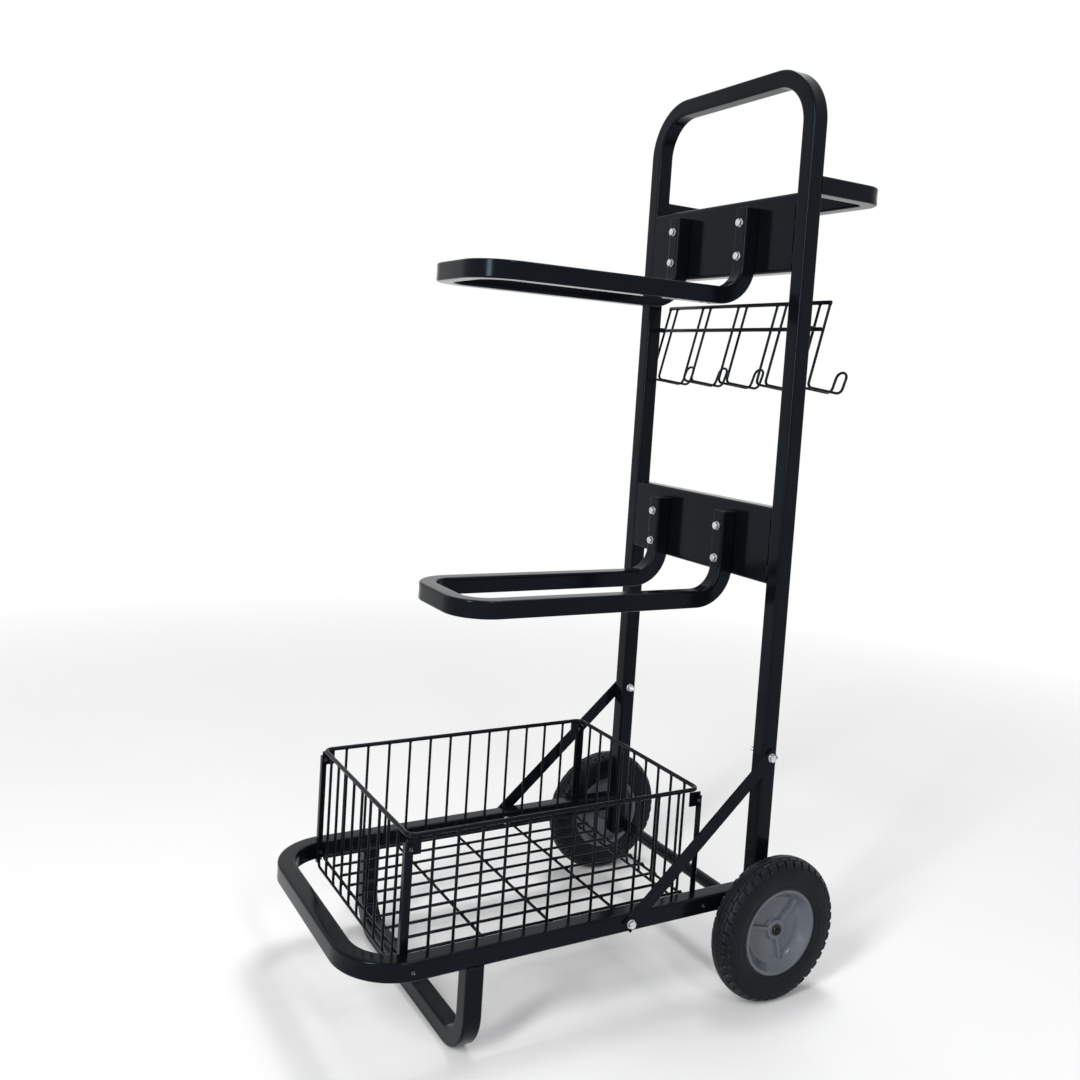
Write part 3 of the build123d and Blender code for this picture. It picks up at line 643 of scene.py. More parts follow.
for node in ("brace_bolts", "rack_bolts"):
    plated(merge(node + "_look", bolts(node), ZINC, HEX_SMOOTH_ANGLE), node)
for node in ("brace_washers", "rack_washers"):
    plated(merge(node + "_look", washers(node, WASHER_BORE), ZINC), node)
for node in ("brace_nuts", "rack_nuts"):
    plated(merge(node + "_look", nuts(node, NUT_BORE), ZINC, HEX_SMOOTH_ANGLE), node)
for name in ("rim_screw_nuts", "post_screw_nuts"):
    node = "basket_" + name
    plated(merge(name + "_look", nuts(node, SCREW_NUT_BORE), SCREW, HEX_SMOOTH_ANGLE), node)


RECESS_ARM, RECESS_THROAT, RECESS_HALF = 0.60, 0.38, 0.15
RECESS_TAPER = 0.6
RECESS_FLOOR = 0.42
DOME_EDGE = 0.35
SCREW_SMOOTH_ANGLE = 35


def pan_head(seat, out, radius, height):
    """Domed screw head with a cross recess."""
    x_axis = out.orthogonal().normalized()
    y_axis = out.cross(x_axis)
    arm, throat, half = RECESS_ARM * radius, RECESS_THROAT * radius, RECESS_HALF * radius
    quadrant = [((arm, 0.0), 0.0), ((arm, half), 15.0), ((throat, half), 30.0)]
    quadrant += [((half, half), 45.0), ((half, throat), 60.0), ((half, arm), 75.0)]
    recess, rim = [], []
    for turn in range(4):
        c, d = ((1, 0), (0, 1), (-1, 0), (0, -1))[turn]
        for (u, v), angle in quadrant:
            recess.append((u * c - v * d, u * d + v * c))
            a = math.radians(angle + 90 * turn)
            rim.append((radius * math.cos(a), radius * math.sin(a)))

    def dome(u, v):
        fall = math.sqrt(max(0.0, 1 - (u * u + v * v) / radius ** 2))
        return height * (DOME_EDGE + (1 - DOME_EDGE) * fall)

    rings = [[(RECESS_TAPER * u, RECESS_TAPER * v, RECESS_FLOOR * height) for u, v in recess]]
    for t in (0.0, 0.25, 0.5, 0.7, 0.85, 0.95, 1.0):
        ring = []
        for (u, v), (x, y) in zip(recess, rim):
            x, y = u + (x - u) * t, v + (y - v) * t
            ring.append((x, y, dome(x, y)))
        rings.append(ring)
    rings.append([(x, y, 0.0) for x, y in rim])
    verts = [seat + x_axis * x + y_axis * y + out * h for ring in rings for x, y, h in ring]
    count = len(recess)
    faces = strip_faces(len(rings), count)
    bottom, under = len(verts), len(verts) + 1
    verts += [seat + out * (RECESS_FLOOR * height), seat]
    last = (len(rings) - 1) * count
    for k in range(count):
        m = (k + 1) % count
        faces.append((bottom, m, k))
        faces.append((under, last + k, last + m))
    return verts, faces


def pan_screws(node):
    parts = []
    for low, high in solids_of(node):
        middle = (low + high) / 2
        out = outward(node, low, high)
        half = (high - low).x / 2
        seat = middle + out * (half - SCREW_HEAD_HEIGHT)
        parts.append(pan_head(seat, out, (high - low).z / 2, SCREW_HEAD_HEIGHT))
        parts.append(thread(seat, middle - out * half, SCREW_DIA / 2, SCREW_PITCH))
    return parts


for name in ("rim_screws", "post_screws"):
    plated(merge(name + "_look", pan_screws("basket_" + name), SCREW, SCREW_SMOOTH_ANGLE), "basket_" + name)
refine_painted("basket_post_spacers", bevel=0.0)


# Basket wires

WIRE = 2 * MM
RIM_WIRE = 3 * MM
RIM_CORNER = 12 * MM
RING_CORNER = 7.95 * MM
EDGE_BEND = 5 * MM
WIRE_SMOOTH_ANGLE = 60
LOOP_COUNT = 16
WIRE_BEND_STEPS = 10
EDGE_BEND_STEPS = 8
WIRE_COUNT = 14
WIRE_ENDS = [(0.0, 0.55), (0.4 * MM, 0.85), (1.0 * MM, 1.0)]
floor_z = (ring_low.z + ring_high.z) / 2
PANELS = ("basket_right_wires", "basket_left_wires", "basket_front_wires", "basket_rear_wires")


def loop_wire(name, node, radius, corner):
    low, high = size(node)
    x, y0, y1, level = high.x - radius, low.y + radius, high.y - radius, (low.z + high.z) / 2
    middle = (y0 + y1) / 2
    outline = [(x, middle), (x, y1), (-x, y1), (-x, y0), (x, y0), (x, middle)]
    stations = route([(*p, level) for p in outline], corner, WIRE_BEND_STEPS)[:-1]
    swept = sweep(stations, circle(radius, LOOP_COUNT), (0, 0, 1), closed=True)
    return painted(mesh_object(name, *swept, PAINT, WIRE_SMOOTH_ANGLE), node)


loop_wire("basket_rim_wire", "basket_rim", RIM_WIRE, RIM_CORNER)
loop_wire("basket_ring_wire", "basket_floor_ring", WIRE, RING_CORNER)


def straight_wire(low, high):
    """Round wire along the longest side of a box, with softened ends."""
    axis = max(range(3), key=lambda i: high[i] - low[i])
    start, end = (low + high) / 2, (low + high) / 2
    start[axis], end[axis] = low[axis], high[axis]
    direction = (end - start).normalized()
    side = direction.orthogonal().normalized()
    return soft_bar(start, direction, side, (end - start).length, WIRE, WIRE_COUNT, WIRE_ENDS)


def edge_wire(low, high):
    """Bottom wire of an end panel, with both ends turned up."""
    x, y, z = high.x - WIRE, (low.y + high.y) / 2, low.z + WIRE
    points = [(-x, y, high.z), (-x, y, z), (x, y, z), (x, y, high.z)]
    return sweep(route(points, EDGE_BEND, EDGE_BEND_STEPS), circle(WIRE, WIRE_COUNT), (0, 1, 0))


def is_bent(low, high):
    """True for an edge wire: its box is wider than one wire in two directions."""
    return sorted(high - low)[1] > 3 * WIRE


for node in (*PANELS, "basket_cross_wires", "basket_long_wires"):
    wires = [edge_wire(*box) if is_bent(*box) else straight_wire(*box) for box in solids_of(node)]
    painted(merge(node + "_look", wires, PAINT, WIRE_SMOOTH_ANGLE), node)


# Weld spots where wires meet

BLOB_ROWS, BLOB_COLUMNS = 7, 10
BLOB_UNEVEN = 0.08
WELD_SMOOTH_ANGLE = 80
# radii of the spots in mm
UPRIGHT_SPOT = (2.7, 2.7, 1.5)
SIDE_SPOT = (1.7, 2.8, 2.2)
END_SPOT = (2.8, 1.7, 2.2)
FLOOR_SPOT = (2.5, 2.5, 1.3)
RING_SPOT = (1.5, 2.6, 2.3)


def blob(centre, radii, seed):
    """Uneven round weld spot."""
    rng = random.Random(seed)

    def point(polar, around):
        out = math.sin(polar)
        offset = (out * math.cos(around), out * math.sin(around), math.cos(polar))
        offset = Vector([radius * share for radius, share in zip(radii, offset)])
        return Vector(centre) + offset * (1 + BLOB_UNEVEN * (rng.random() - 0.5))

    verts = [point(0.0, 0.0)]
    for r in range(1, BLOB_ROWS):
        polar = math.pi * r / BLOB_ROWS
        verts += [point(polar, math.tau * c / BLOB_COLUMNS) for c in range(BLOB_COLUMNS)]
    verts.append(point(math.pi, 0.0))
    last = len(verts) - 1
    faces = []
    for c in range(BLOB_COLUMNS):
        d = (c + 1) % BLOB_COLUMNS
        faces.append((0, 1 + c, 1 + d))
        for r in range(BLOB_ROWS - 2):
            a, b = 1 + r * BLOB_COLUMNS, 1 + (r + 1) * BLOB_COLUMNS
            faces.append((a + c, b + c, b + d, a + d))
        faces.append((last, last - BLOB_COLUMNS + d, last - BLOB_COLUMNS + c))
    return verts, faces


def wire_welds():
    """Spots at the rim, the floor ring, the edge wires and the crossings of the floor."""
    spots = []
    for node in PANELS:
        sideways = "right" in node or "left" in node
        for low, high in solids_of(node):
            if is_bent(low, high):
                continue
            place = (low + high) / 2
            spots.append(((place.x, place.y, high.z), UPRIGHT_SPOT))
            if sideways:
                touch = (place.x - math.copysign(WIRE, place.x), place.y, floor_z)
                spots.append((touch, SIDE_SPOT))
            else:
                touch = (place.x, place.y + (-WIRE if "rear" in node else WIRE), floor_z)
                spots.append((touch, END_SPOT))
                spots.append(((place.x, place.y, low.z), UPRIGHT_SPOT))
    crossings = [(low.y + high.y) / 2 for low, high in solids_of("basket_cross_wires")]
    for low, high in solids_of("basket_long_wires"):
        for y in (low.y, high.y, *crossings):
            spots.append((((low.x + high.x) / 2, y, floor_z + WIRE), FLOOR_SPOT))
    for low, high in solids_of("basket_cross_wires"):
        for x in (low.x, high.x):
            spots.append(((x, (low.y + high.y) / 2, floor_z), RING_SPOT))
    return [blob(place, [r * MM for r in radii], seed) for seed, (place, radii) in enumerate(spots, 1)]


painted(merge("basket_weld_spots", wire_welds(), PAINT, WELD_SMOOTH_ANGLE))


# Rippled beads along the tube joints

BEAD = 2.0 * MM
BEAD_INSET = 2.5 * MM
BEAD_STEP = 0.5 * MM
BEAD_COUNT = 10
BEAD_TAPER = 2 * MM
BEAD_TIP_SHARE = 0.25
RIPPLE_PITCH = 2.2 * MM
RIPPLE = 0.16
BEAD_UNEVEN = 0.1
STITCH = 2.2 * MM
STITCH_SETBACK = 1.6 * MM
STITCHES = ((4, 14), (38, 16), (82, 18))
FLANGE_BEAD_START = 6 * MM
FLANGE_BEAD_END = 3 * MM
FIRST_BEAD_SEED = 100
SIDE_SEED_STEP = 40


def bead(start, end, radius, seed):
    """Rippled weld bead along a line."""
    rng = random.Random(seed)
    start, end = Vector(start), Vector(end)
    total = (end - start).length
    count = max(3, int(total / BEAD_STEP))
    direction = (end - start).normalized()
    side = direction.orthogonal().normalized()
    y_axis = direction.cross(side)
    verts = []
    for index in range(count + 1):
        place = start + (end - start) * (index / count)
        distance = total * index / count
        ripple = 1 + RIPPLE * math.cos(math.tau * distance / RIPPLE_PITCH)
        ripple += BEAD_UNEVEN * (rng.random() - 0.5)
        ends = min(1.0, distance / BEAD_TAPER, (total - distance) / BEAD_TAPER)
        reach = radius * ripple * max(BEAD_TIP_SHARE, ends ** 0.5 if ends > 0 else 0)
        for k in range(BEAD_COUNT):
            verts.append(place + turn_point(side, y_axis, math.tau * k / BEAD_COUNT) * reach)
    return verts, strip_faces(count + 1, BEAD_COUNT) + end_faces(count + 1, BEAD_COUNT)


def square_weld(at, s, low, high, seeds):
    """Four beads round a tube's end: on its inner and outer sides, then across at high and at low.
    at(x, t) gives the point at x and at t between low and high."""
    inner, outer = s * (side_x - HALF), s * (side_x + HALF)
    step = s * BEAD_INSET
    lines = [(at(x, low + BEAD_INSET), at(x, high - BEAD_INSET)) for x in (inner, outer)]
    lines += [(at(inner + step, t), at(outer - step, t)) for t in (high, low)]
    return [bead(*line, BEAD, seed) for line, seed in zip(lines, seeds)]


def frame_welds():
    parts = []
    seed = FIRST_BEAD_SEED
    for s in (-1, 1):
        # rails to uprights, foot legs to rails, hoop legs to uprights
        parts += square_weld(lambda x, t: (x, handle_low.y, t), s, base_low.z, base_high.z,
                             (seed, seed + 1, seed + 2, seed + 3))
        parts += square_weld(lambda x, t: (x, t, base_low.z), s, foot_low.y, foot_high.y,
                             (seed + 5, seed + 4, seed + 7, seed + 6))
        parts += square_weld(lambda x, t: (x, handle_high.y, t), s, hoop_low.z, hoop_high.z,
                             (seed + 8, seed + 9, seed + 10, seed + 11))
        # channels to uprights: short stitches down the web, one bead along each flange
        for node in ("upper_saddle_channel", "lower_saddle_channel"):
            low, high = size(node)
            x, y = s * high.x, low.y + STITCH_SETBACK
            for drop, length in STITCHES:
                z = high.z - drop * MM
                parts.append(bead((x, y, z), (x, y, z - length * MM), STITCH, seed + 12 + drop))
            for z, extra in ((high.z, 15), (low.z, 16)):
                ends = (x, low.y + FLANGE_BEAD_START, z), (x, high.y - FLANGE_BEAD_END, z)
                parts.append(bead(*ends, BEAD, seed + extra))
        seed += SIDE_SEED_STEP
    return parts


painted(merge("frame_weld_beads", frame_welds(), PAINT, WELD_SMOOTH_ANGLE))


# Bridle hooks

HOOK_COUNT = 5
HOOK_WIRE = 2 * MM
HOOK_HALF = 10 * MM
HOOK_DROP = 121 * MM
HOOK_MID_DROP = 40 * MM
HOOK_HEEL_GAP = 3.6 * MM
HOOK_TOP_GAP = 3.05 * MM
HOOK_ARM = Vector((0, 64 * MM, -7 * MM))
HOOK_TIP = Vector((0, 11 * MM, 31 * MM))
# at the heel, the toe and the tip
HOOK_BENDS = [6 * MM, 12 * MM, 9.5 * MM]
RAIL_COUNT = 18
RAIL_ENDS = [(0.0, 0.5), (0.5 * MM, 0.82), (1.4 * MM, 1.0)]
TOP_SPOT = [r * MM for r in (3.0, 2.8, 2.4)]
MID_SPOT = [r * MM for r in (3.0, 2.0, 2.8)]
TOP_SPOT_SHIFT = Vector((0, -0.3 * MM, 0.4 * MM))
MID_SPOT_SHIFT = Vector((0, -1.8 * MM, 0.5 * MM))
TOP_SPOT_SEED = 300
MID_SPOT_SEED = 330


def rail(node):
    low, high = size(node)
    start = (low + high) / 2
    start.x = low.x
    radius = (high.z - low.z) / 2
    along, side = Vector((1, 0, 0)), Vector((0, 1, 0))
    bar = soft_bar(start, along, side, high.x - low.x, radius, RAIL_COUNT, RAIL_ENDS)
    return painted(mesh_object(node + "_look", *bar, PAINT, WIRE_SMOOTH_ANGLE), node)


rail("hook_top_rail")
rail("hook_mid_rail")
hook_spots = []
top = (top_low + top_high) / 2
top.x = 0.0
heel = Vector((0, handle_high.y + HOOK_HEEL_GAP, top.z - HOOK_DROP))
start = top - (top - heel).normalized() * HOOK_TOP_GAP
toe = heel + HOOK_ARM
hook_side = [start, heel, toe, toe + HOOK_TIP]
crossing = heel + (top - heel) * (1 - HOOK_MID_DROP / HOOK_DROP)
for index in range(1, HOOK_COUNT + 1):
    node = f"bridle_hook_{index}"
    low, high = size(node)
    x = (low.x + high.x) / 2
    left, right = Vector((x - HOOK_HALF, 0, 0)), Vector((x + HOOK_HALF, 0, 0))
    points = [p + left for p in hook_side] + [p + right for p in reversed(hook_side)]
    stations = route(points, HOOK_BENDS + HOOK_BENDS[::-1], WIRE_BEND_STEPS)
    swept = sweep(stations, circle(HOOK_WIRE, WIRE_COUNT), (1, 0, 0))
    painted(mesh_object(node + "_look", *swept, PAINT, WIRE_SMOOTH_ANGLE), node)
    for wire in (left, right):
        hook_spots.append(blob(start + wire + TOP_SPOT_SHIFT, TOP_SPOT, TOP_SPOT_SEED + index))
        hook_spots.append(blob(crossing + wire + MID_SPOT_SHIFT, MID_SPOT, MID_SPOT_SEED + index))
painted(merge("hook_weld_spots", hook_spots, PAINT, WELD_SMOOTH_ANGLE))
refine_painted("hook_standoffs", bevel=0.4 * MM)


# Axle
refine_painted("axle_tube", bevel=0.3 * MM)
refine("axle", "cart", "zinc_steel", STEEL, bevel=0.3 * MM)


# Tyres

TREAD_PITCHES = 40
TREAD_STEPS = 20
TREAD_HALF = (
    0.0, 0.08, 0.15, 0.18, 0.20, 0.24, 0.26, 0.29, 0.36, 0.44, 0.52,
    0.55, 0.57, 0.61, 0.63, 0.66, 0.74, 0.82, 0.89, 0.94, 0.98,
)
TREAD_CROWN = 2.4
TREAD_GROOVE = 3.6 * MM
TREAD_LEAN = 0.45
GROOVES = ((0.175, 0.205), (0.235, 0.265)), ((0.545, 0.575), (0.605, 0.635))
CENTRE_ROW, MIDDLE_ROW = 0.22, 0.59
MIDDLE_GAP, MIDDLE_GAP_DEPTH = (0.04, 0.11), 0.5
SHOULDER_GAP = (0.11, 0.19)
LUG_GAP = 1.7 * MM
LUG_HEIGHT = 8.0 * MM
SHOULDER_DROP = 8.0 * MM
EDGE_GROOVE_LOSS = 0.35
TYRE_SEAT = 58.05 * MM
TYRE_SEAT_HALF = 14.95 * MM
TYRE_LIP = 61.3 * MM
TYRE_LIP_HALF = 16.95 * MM
TYRE_LIP_EDGE = 0.5 * MM
TYRE_LIP_BACK = 0.9 * MM
WALL_STEPS = 26
WALL_ARC_START, WALL_ARC_SPAN = 0.06, 0.84
WALL_RIB, WALL_RIB_SIDES = 0.6 * MM, ((0.32, 0.38), (0.42, 0.48))
LIP_RIB, LIP_RIB_SIDES = 0.4 * MM, ((0.03, 0.08), (0.11, 0.16))
SHOULDER_EDGE = (0.8, 1.0)
TINY = 0.01 * MM
TYRE_SMOOTH_ANGLE = 42


def smooth_step(low, high, value):
    t = max(0.0, min(1.0, (value - low) / (high - low)))
    return t * t * (3 - 2 * t)


def hump(value, rise, fall):
    """One between the two ranges, and zero outside them."""
    return smooth_step(*rise, value) * (1 - smooth_step(*fall, value))


def tread_depth(u, turn):
    """Shares of the groove depth and of the gap between lugs, at u across and turn pitches round."""
    row = abs(u)
    groove = max(hump(row, *sides) for sides in GROOVES)
    between = abs((turn + 0.5) % 1.0 - 0.5)
    level = abs(turn % 1.0 - 0.5)
    if row < CENTRE_ROW:
        gap = 0.0
    elif row < MIDDLE_ROW:
        gap = MIDDLE_GAP_DEPTH * (1 - smooth_step(*MIDDLE_GAP, between))
    else:
        gap = 1 - smooth_step(*SHOULDER_GAP, level)
    return max(groove, gap), gap


def tyre_outline(radius, half, shoulder):
    """(radius, height) points round the tyre's plain section, and half the tread's width."""
    lip = TYRE_LIP + TYRE_LIP_EDGE
    wall = []
    for k in range(1, WALL_STEPS + 1):
        t = k / WALL_STEPS
        arc = math.pi * (WALL_ARC_START + WALL_ARC_SPAN * t)
        h = TYRE_LIP_HALF + (half - TYRE_LIP_HALF) * math.sin(arc)
        h += WALL_RIB * hump(t, *WALL_RIB_SIDES) + LIP_RIB * hump(t, *LIP_RIB_SIDES)
        wall.append((lip + (shoulder - lip) * t, min(h, half)))
    width = wall[-1][1]
    tread = []
    for u in [-u for u in reversed(TREAD_HALF[1:])] + list(TREAD_HALF):
        tread.append((radius - (radius - shoulder) * abs(u) ** TREAD_CROWN, -u * width))
    foot = [(TYRE_LIP, TYRE_SEAT_HALF), (TYRE_LIP, TYRE_LIP_HALF - TYRE_LIP_BACK), (lip, TYRE_LIP_HALF)]
    front = [(TYRE_SEAT, TYRE_SEAT_HALF)] + foot + wall
    back = [(r, -h) for r, h in reversed(foot + wall)]
    return [(TYRE_SEAT, -TYRE_SEAT_HALF), (TYRE_SEAT, 0.0)] + front + tread + back, width


def make_tyre(side_name, s):
    node = "wheel_tyre_" + side_name
    low, high = size(node)
    centre = (low + high) / 2
    radius = (high.z - low.z) / 2
    shoulder = radius - SHOULDER_DROP
    lug_root = shoulder - LUG_HEIGHT
    outline, width = tyre_outline(radius, (high.x - low.x) / 2, shoulder)
    axis, x_axis = Vector((s, 0, 0)), Vector((0, 1, 0))
    y_axis = axis.cross(x_axis)
    count = TREAD_PITCHES * TREAD_STEPS
    verts = []
    for k in range(count):
        turn = k / TREAD_STEPS
        for r, h in outline:
            u = max(-1.0, min(1.0, h / width))
            lean = 0.0
            if r > lug_root and abs(h) > 0.0:
                fade = smooth_step(lug_root, shoulder, r)
                lean = TREAD_LEAN * u * fade
                row = abs(u) if r > shoulder + TINY else 1.0
                edge = smooth_step(*SHOULDER_EDGE, row)
                depth, gap = tread_depth(row, turn)
                if r > shoulder - TINY:
                    r -= depth * TREAD_GROOVE * (1 - EDGE_GROOVE_LOSS * edge)
                h -= math.copysign(LUG_GAP * gap * fade * edge, h)
            elif r > lug_root:
                r -= tread_depth(0.0, turn)[0] * TREAD_GROOVE
            radial = turn_point(x_axis, y_axis, math.tau * (k / count + lean / TREAD_PITCHES))
            verts.append(centre + radial * r + axis * h)
    faces = strip_faces(count, len(outline), wrap=True)
    obj = mesh_object(node + "_look", verts, faces, RUBBER, TYRE_SMOOTH_ANGLE)
    return show(obj, "wheel_" + side_name, "tyre_rubber", node)


# Hubs: the outline is in mm from the wheel's middle

HUB_HALF, HUB_LIP, HUB_BARREL = 17, 61.2, 58
HUB_MOUTH, HUB_DISH, HUB_INSIDE = 57, 46, 54
HUB_BOSS, HUB_BORE, HUB_TAIL = 14.5, 9.05, -19
HUB_LIP_WIDTH = 2
BOSS_TOP = HUB_HALF - 9.5
RIB_TOP = HUB_HALF - 10.3
WEB = HUB_HALF - 15
WEB_BACK = WEB - 4
RIB_TURN = math.radians(45)
RIB_COUNT = 3
RIB_HALF = 2.5
RIB_FLANK = 1.3
RIB_ROUNDING = 0.25
RIB_LINES = (1.0, 2.0, 2.35, 2.6, 2.9, 3.3, 3.9)
RIB_OFFSETS = [-o for o in reversed(RIB_LINES)] + list(RIB_LINES)
RIB_FILL = 56
HUB_SMOOTH_ANGLE = 38


def hub_front():
    """From the bore over the boss, the web and the dish to the lip."""
    boss, mouth, lip, half = HUB_BOSS, HUB_MOUTH, HUB_LIP, HUB_HALF
    points = [(HUB_BORE, BOSS_TOP - 0.5), (HUB_BORE + 0.5, BOSS_TOP)]
    points += [(boss - 0.9, BOSS_TOP), (boss - 0.45, BOSS_TOP - 0.12), (boss - 0.1, BOSS_TOP - 0.45)]
    points += [(boss, BOSS_TOP - 0.9), (boss + 0.2, WEB + 2.2), (boss + 0.5, WEB + 1.1)]
    points += [(boss + 1.1, WEB + 0.4), (boss + 2.0, WEB + 0.1)]
    web_start, web_end, web_steps = boss + 2.0, HUB_DISH - 3, 14
    for k in range(1, web_steps + 1):
        t = k / web_steps
        points.append((web_start + (web_end - web_start) * t, WEB + 0.1 * (1 - t)))
    slope = (half - WEB) / (mouth - HUB_DISH)
    bend_run, bend_rise, bend_steps = 5.2, 2.2, 8
    for k in range(1, bend_steps + 1):
        t = k / bend_steps
        points.append((web_end + bend_run * t, WEB + slope * bend_rise * t * t))
    r0, h0 = points[-1]
    wall_steps = 10
    for k in range(1, wall_steps + 1):
        t = k / wall_steps
        points.append((r0 + (mouth - 0.5 - r0) * t, h0 + (half - 0.7 - h0) * t))
    points += [(mouth - 0.1, half - 0.2), (mouth + 0.5, half), (mouth + 2.0, half)]
    return points + [(lip - 0.8, half), (lip - 0.25, half - 0.2), (lip, half - 0.7)]


def hub_back():
    """From the lip round the barrel, the rear lip and the back of the web to the bore."""
    boss, inside, lip, half = HUB_BOSS, HUB_INSIDE, HUB_LIP, HUB_HALF
    step = half - HUB_LIP_WIDTH
    points = [(lip, step), (HUB_BARREL, step), (HUB_BARREL, 0.0), (HUB_BARREL, -step), (lip, -step)]
    points += [(lip, -half + 0.6), (lip - 0.6, -half), (inside + 0.6, -half), (inside, -half + 0.6)]
    points += [(inside, WEB_BACK - 2.0), (inside - 0.6, WEB_BACK - 0.6), (inside - 2.0, WEB_BACK)]
    points += [(inside - 16, WEB_BACK), (boss + 12, WEB_BACK), (boss + 1.6, WEB_BACK)]
    points += [(boss + 0.4, WEB_BACK - 0.4), (boss, WEB_BACK - 1.6), (boss, HUB_TAIL + 0.6)]
    return points + [(boss - 0.6, HUB_TAIL), (HUB_BORE + 0.4, HUB_TAIL), (HUB_BORE, HUB_TAIL + 0.4)]


def hub_columns(r):
    """Angles round the hub whose lines follow the ribs, with each line's offset from its rib."""
    out = []
    sector = math.tau / RIB_COUNT
    edge = math.asin(RIB_OFFSETS[-1] / r)
    for rib in range(RIB_COUNT):
        base = RIB_TURN + rib * sector
        out += [(base + math.asin(o / r), abs(o)) for o in RIB_OFFSETS]
        run = sector - 2 * edge
        out += [(base + edge + run * k / RIB_FILL, None) for k in range(1, RIB_FILL)]
    return out


def make_hub(side_name, s):
    node = "wheel_hub_" + side_name
    low, high = size(node)
    middle = (low + high) / 2
    tyre_low, tyre_high = size("wheel_tyre_" + side_name)
    middle.x = (tyre_low.x + tyre_high.x) / 2
    front = hub_front()
    outline = front + hub_back()
    axis, x_axis = Vector((s, 0, 0)), Vector((0, 1, 0))
    y_axis = axis.cross(x_axis)
    columns = [hub_columns(r) for r, h in outline]
    count = len(columns[0])
    verts = []
    for k in range(count):
        for i, (r, h) in enumerate(outline):
            a, offset = columns[i][k]
            if offset is not None and i < len(front) and r > HUB_BOSS - 1 and h < RIB_TOP:
                fall = (offset - RIB_HALF) / RIB_FLANK + RIB_ROUNDING
                h += (RIB_TOP - h) * (1 - smooth_step(0.0, 1.0, fall))
            verts.append(middle + turn_point(x_axis, y_axis, a) * (r * MM) + axis * (h * MM))
    faces = strip_faces(count, len(outline), wrap=True)
    obj = mesh_object(node + "_look", verts, faces, HUB, HUB_SMOOTH_ANGLE)
    return show(obj, "wheel_" + side_name, "hub_plastic", node)


CAP_BORE = 6.05 * MM
CAP_BRIM_STEP = 1.3 * MM
CAP_CROWN_START = 2.4 * MM
CAP_CROWN_STEPS = 8
CAP_CROWN_POWER = 0.6
CAP_COUNT = 64


def make_axle_cap(side_name, s):
    """Pressed push-on cap with a brim and a domed crown."""
    node = "axle_cap_" + side_name
    low, high = size(node)
    start = low.x if s > 0 else high.x
    length = high.x - low.x
    brim = (high.z - low.z) / 2
    crown = brim - CAP_BRIM_STEP
    outline = [(CAP_BORE, 0.0), (brim - 0.3 * MM, 0.0), (brim, 0.3 * MM), (brim, 0.8 * MM)]
    outline += [(brim - 0.3 * MM, 1.1 * MM), (crown + 0.5 * MM, 1.2 * MM), (crown, 1.7 * MM)]
    for k in range(CAP_CROWN_STEPS + 1):
        a = math.pi / 2 * k / CAP_CROWN_STEPS
        r = crown * math.cos(a) ** CAP_CROWN_POWER if k < CAP_CROWN_STEPS else 0.0
        outline.append((r, CAP_CROWN_START + (length - CAP_CROWN_START) * math.sin(a)))
    outline += [(0.0, length - 0.8 * MM), (CAP_BORE, length - 1.0 * MM)]
    centre = Vector((start, (low.y + high.y) / 2, (low.z + high.z) / 2))
    obj = mesh_object(node + "_look", *lathe(outline, centre, (s, 0, 0), (0, 1, 0), CAP_COUNT), CAP)
    return show(obj, "cart", "black_plastic", node)


for side_name, s in (("right", 1), ("left", -1)):
    make_tyre(side_name, s)
    make_hub(side_name, s)
    refine("wheel_bush_" + side_name, "wheel_" + side_name, "bush_nylon", NYLON, bevel=0.3 * MM)
    refine("wheel_spacer_" + side_name, "cart", "zinc_steel", ZINC, bevel=0.3 * MM)
    make_axle_cap(side_name, s)


# Stage: pale floor, soft light and the camera of the photo

AMBIENT = 0.28
FLOOR_REACH = 14.0
FLOOR_FADE = (0.7, 2.6)


def backdrop_strength(tree):
    """White for the rays that show the backdrop, dimmer for the light it sheds on the object."""
    paths = tree.nodes.new("ShaderNodeLightPath")
    seen = paths.outputs["Is Camera Ray"]
    for ray in ("Is Glossy Ray", "Is Transmission Ray"):
        either = tree.nodes.new("ShaderNodeMath")
        either.operation = "MAXIMUM"
        link(tree, seen, either.inputs[0])
        link(tree, paths.outputs[ray], either.inputs[1])
        seen = either.outputs["Value"]
    return span(tree, seen, 0.0, 1.0, AMBIENT, 1.0)


def pale_floor():
    """Pale floor that turns to plain white away from the object."""
    material, tree, shader = new_material("pale_floor")
    greys = [(0.3, (0.90, 0.90, 0.90)), (0.7, (0.92, 0.92, 0.92))]
    mottle(tree, shader, noise(tree, 3.0, 2.0), greys)
    put(shader, Roughness=0.9, Specular_IOR_Level=0.1)
    coords = tree.nodes.new("ShaderNodeTexCoord")
    distance = tree.nodes.new("ShaderNodeVectorMath")
    distance.operation = "LENGTH"
    link(tree, coords.outputs["Object"], distance.inputs[0])
    glow = tree.nodes.new("ShaderNodeEmission")
    link(tree, backdrop_strength(tree), glow.inputs["Strength"])
    mix = tree.nodes.new("ShaderNodeMixShader")
    link(tree, span(tree, distance.outputs["Value"], *FLOOR_FADE, 0.0, 1.0), mix.inputs["Fac"])
    link(tree, shader.outputs["BSDF"], mix.inputs[1])
    link(tree, glow.outputs["Emission"], mix.inputs[2])
    link(tree, mix.outputs["Shader"], tree.nodes["Material Output"].inputs["Surface"])
    return material


floor_mesh = bpy.data.meshes.new("floor")
floor_corners = [(FLOOR_REACH * x, FLOOR_REACH * y, 0) for x, y in ((-1, -1), (1, -1), (1, 1), (-1, 1))]
floor_mesh.from_pydata(floor_corners, [], [(0, 1, 2, 3)])
floor_mesh.materials.append(pale_floor())
floor = bpy.data.objects.new("floor", floor_mesh)
SCENE.collection.objects.link(floor)

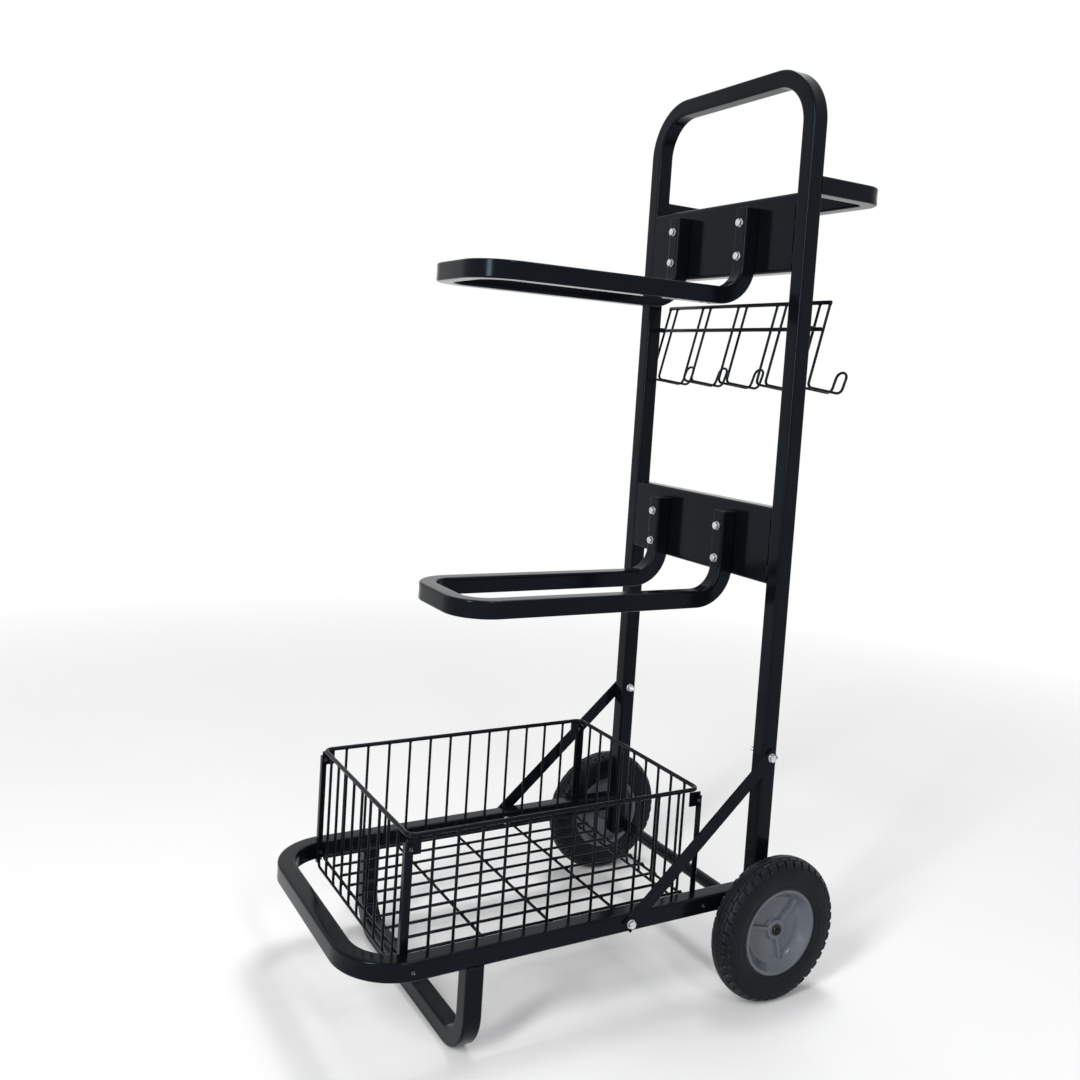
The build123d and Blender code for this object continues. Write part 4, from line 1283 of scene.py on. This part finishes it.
world = SCENE.world or bpy.data.worlds.new("World")
SCENE.world = world
world.use_nodes = True
world_tree = world.node_tree
background = world_tree.nodes["Background"]
put(background, Color=(1.0, 1.0, 1.0, 1.0))
link(world_tree, backdrop_strength(world_tree), background.inputs["Strength"])


def area_light(name, place, target, energy, width, height, colour=(1, 1, 1)):
    data = bpy.data.lights.new(name, "AREA")
    data.shape = "RECTANGLE"
    data.size, data.size_y = width, height
    data.energy = energy
    data.color = colour
    obj = bpy.data.objects.new(name, data)
    obj.location = place
    direction = Vector(target) - Vector(place)
    obj.rotation_euler = direction.to_track_quat("-Z", "Y").to_euler()
    SCENE.collection.objects.link(obj)
    return obj


area_light("key", (1.5, -2.9, 1.9), target=(0, 0, 0.8), energy=115, width=0.6, height=2.8)
area_light("fill", (2.7, -0.3, 2.2), target=(0, 0, 0.5), energy=20, width=0.45, height=1.0,
           colour=(0.93, 0.95, 1.0))
area_light("top", (-0.5, 0.7, 3.6), target=(0, 0, 0.6), energy=60, width=1.2, height=1.2)

IMAGE_PIXELS = 1080
FOCAL_PIXELS = 1096.7
SHIFT_PIXELS = (-27.278, -80.0)
CAMERA_PLACE = (1.3557, -0.8182, 0.8548)
SENSOR = 36.0
azimuth, elevation, roll = (math.radians(a) for a in (59.460, 4.101, 3.799))
level_look = Vector((-math.sin(azimuth), math.cos(azimuth), 0))
look = level_look * math.cos(elevation) - Vector((0, 0, math.sin(elevation)))
level_right = Vector((math.cos(azimuth), math.sin(azimuth), 0))
level_up = level_right.cross(look)
cam_x = level_right * math.cos(roll) + level_up * math.sin(roll)
cam_y = level_up * math.cos(roll) - level_right * math.sin(roll)
camera_data = bpy.data.cameras.new("photo_camera")
camera_data.sensor_width = SENSOR
camera_data.lens = SENSOR * FOCAL_PIXELS / IMAGE_PIXELS
camera_data.shift_x, camera_data.shift_y = (shift / IMAGE_PIXELS for shift in SHIFT_PIXELS)
camera = bpy.data.objects.new("photo_camera", camera_data)
camera.matrix_world = Matrix.Translation(CAMERA_PLACE) @ Matrix((cam_x, cam_y, -look)).transposed().to_4x4()
SCENE.collection.objects.link(camera)
SCENE.camera = camera
SCENE.view_settings.view_transform = "Standard"
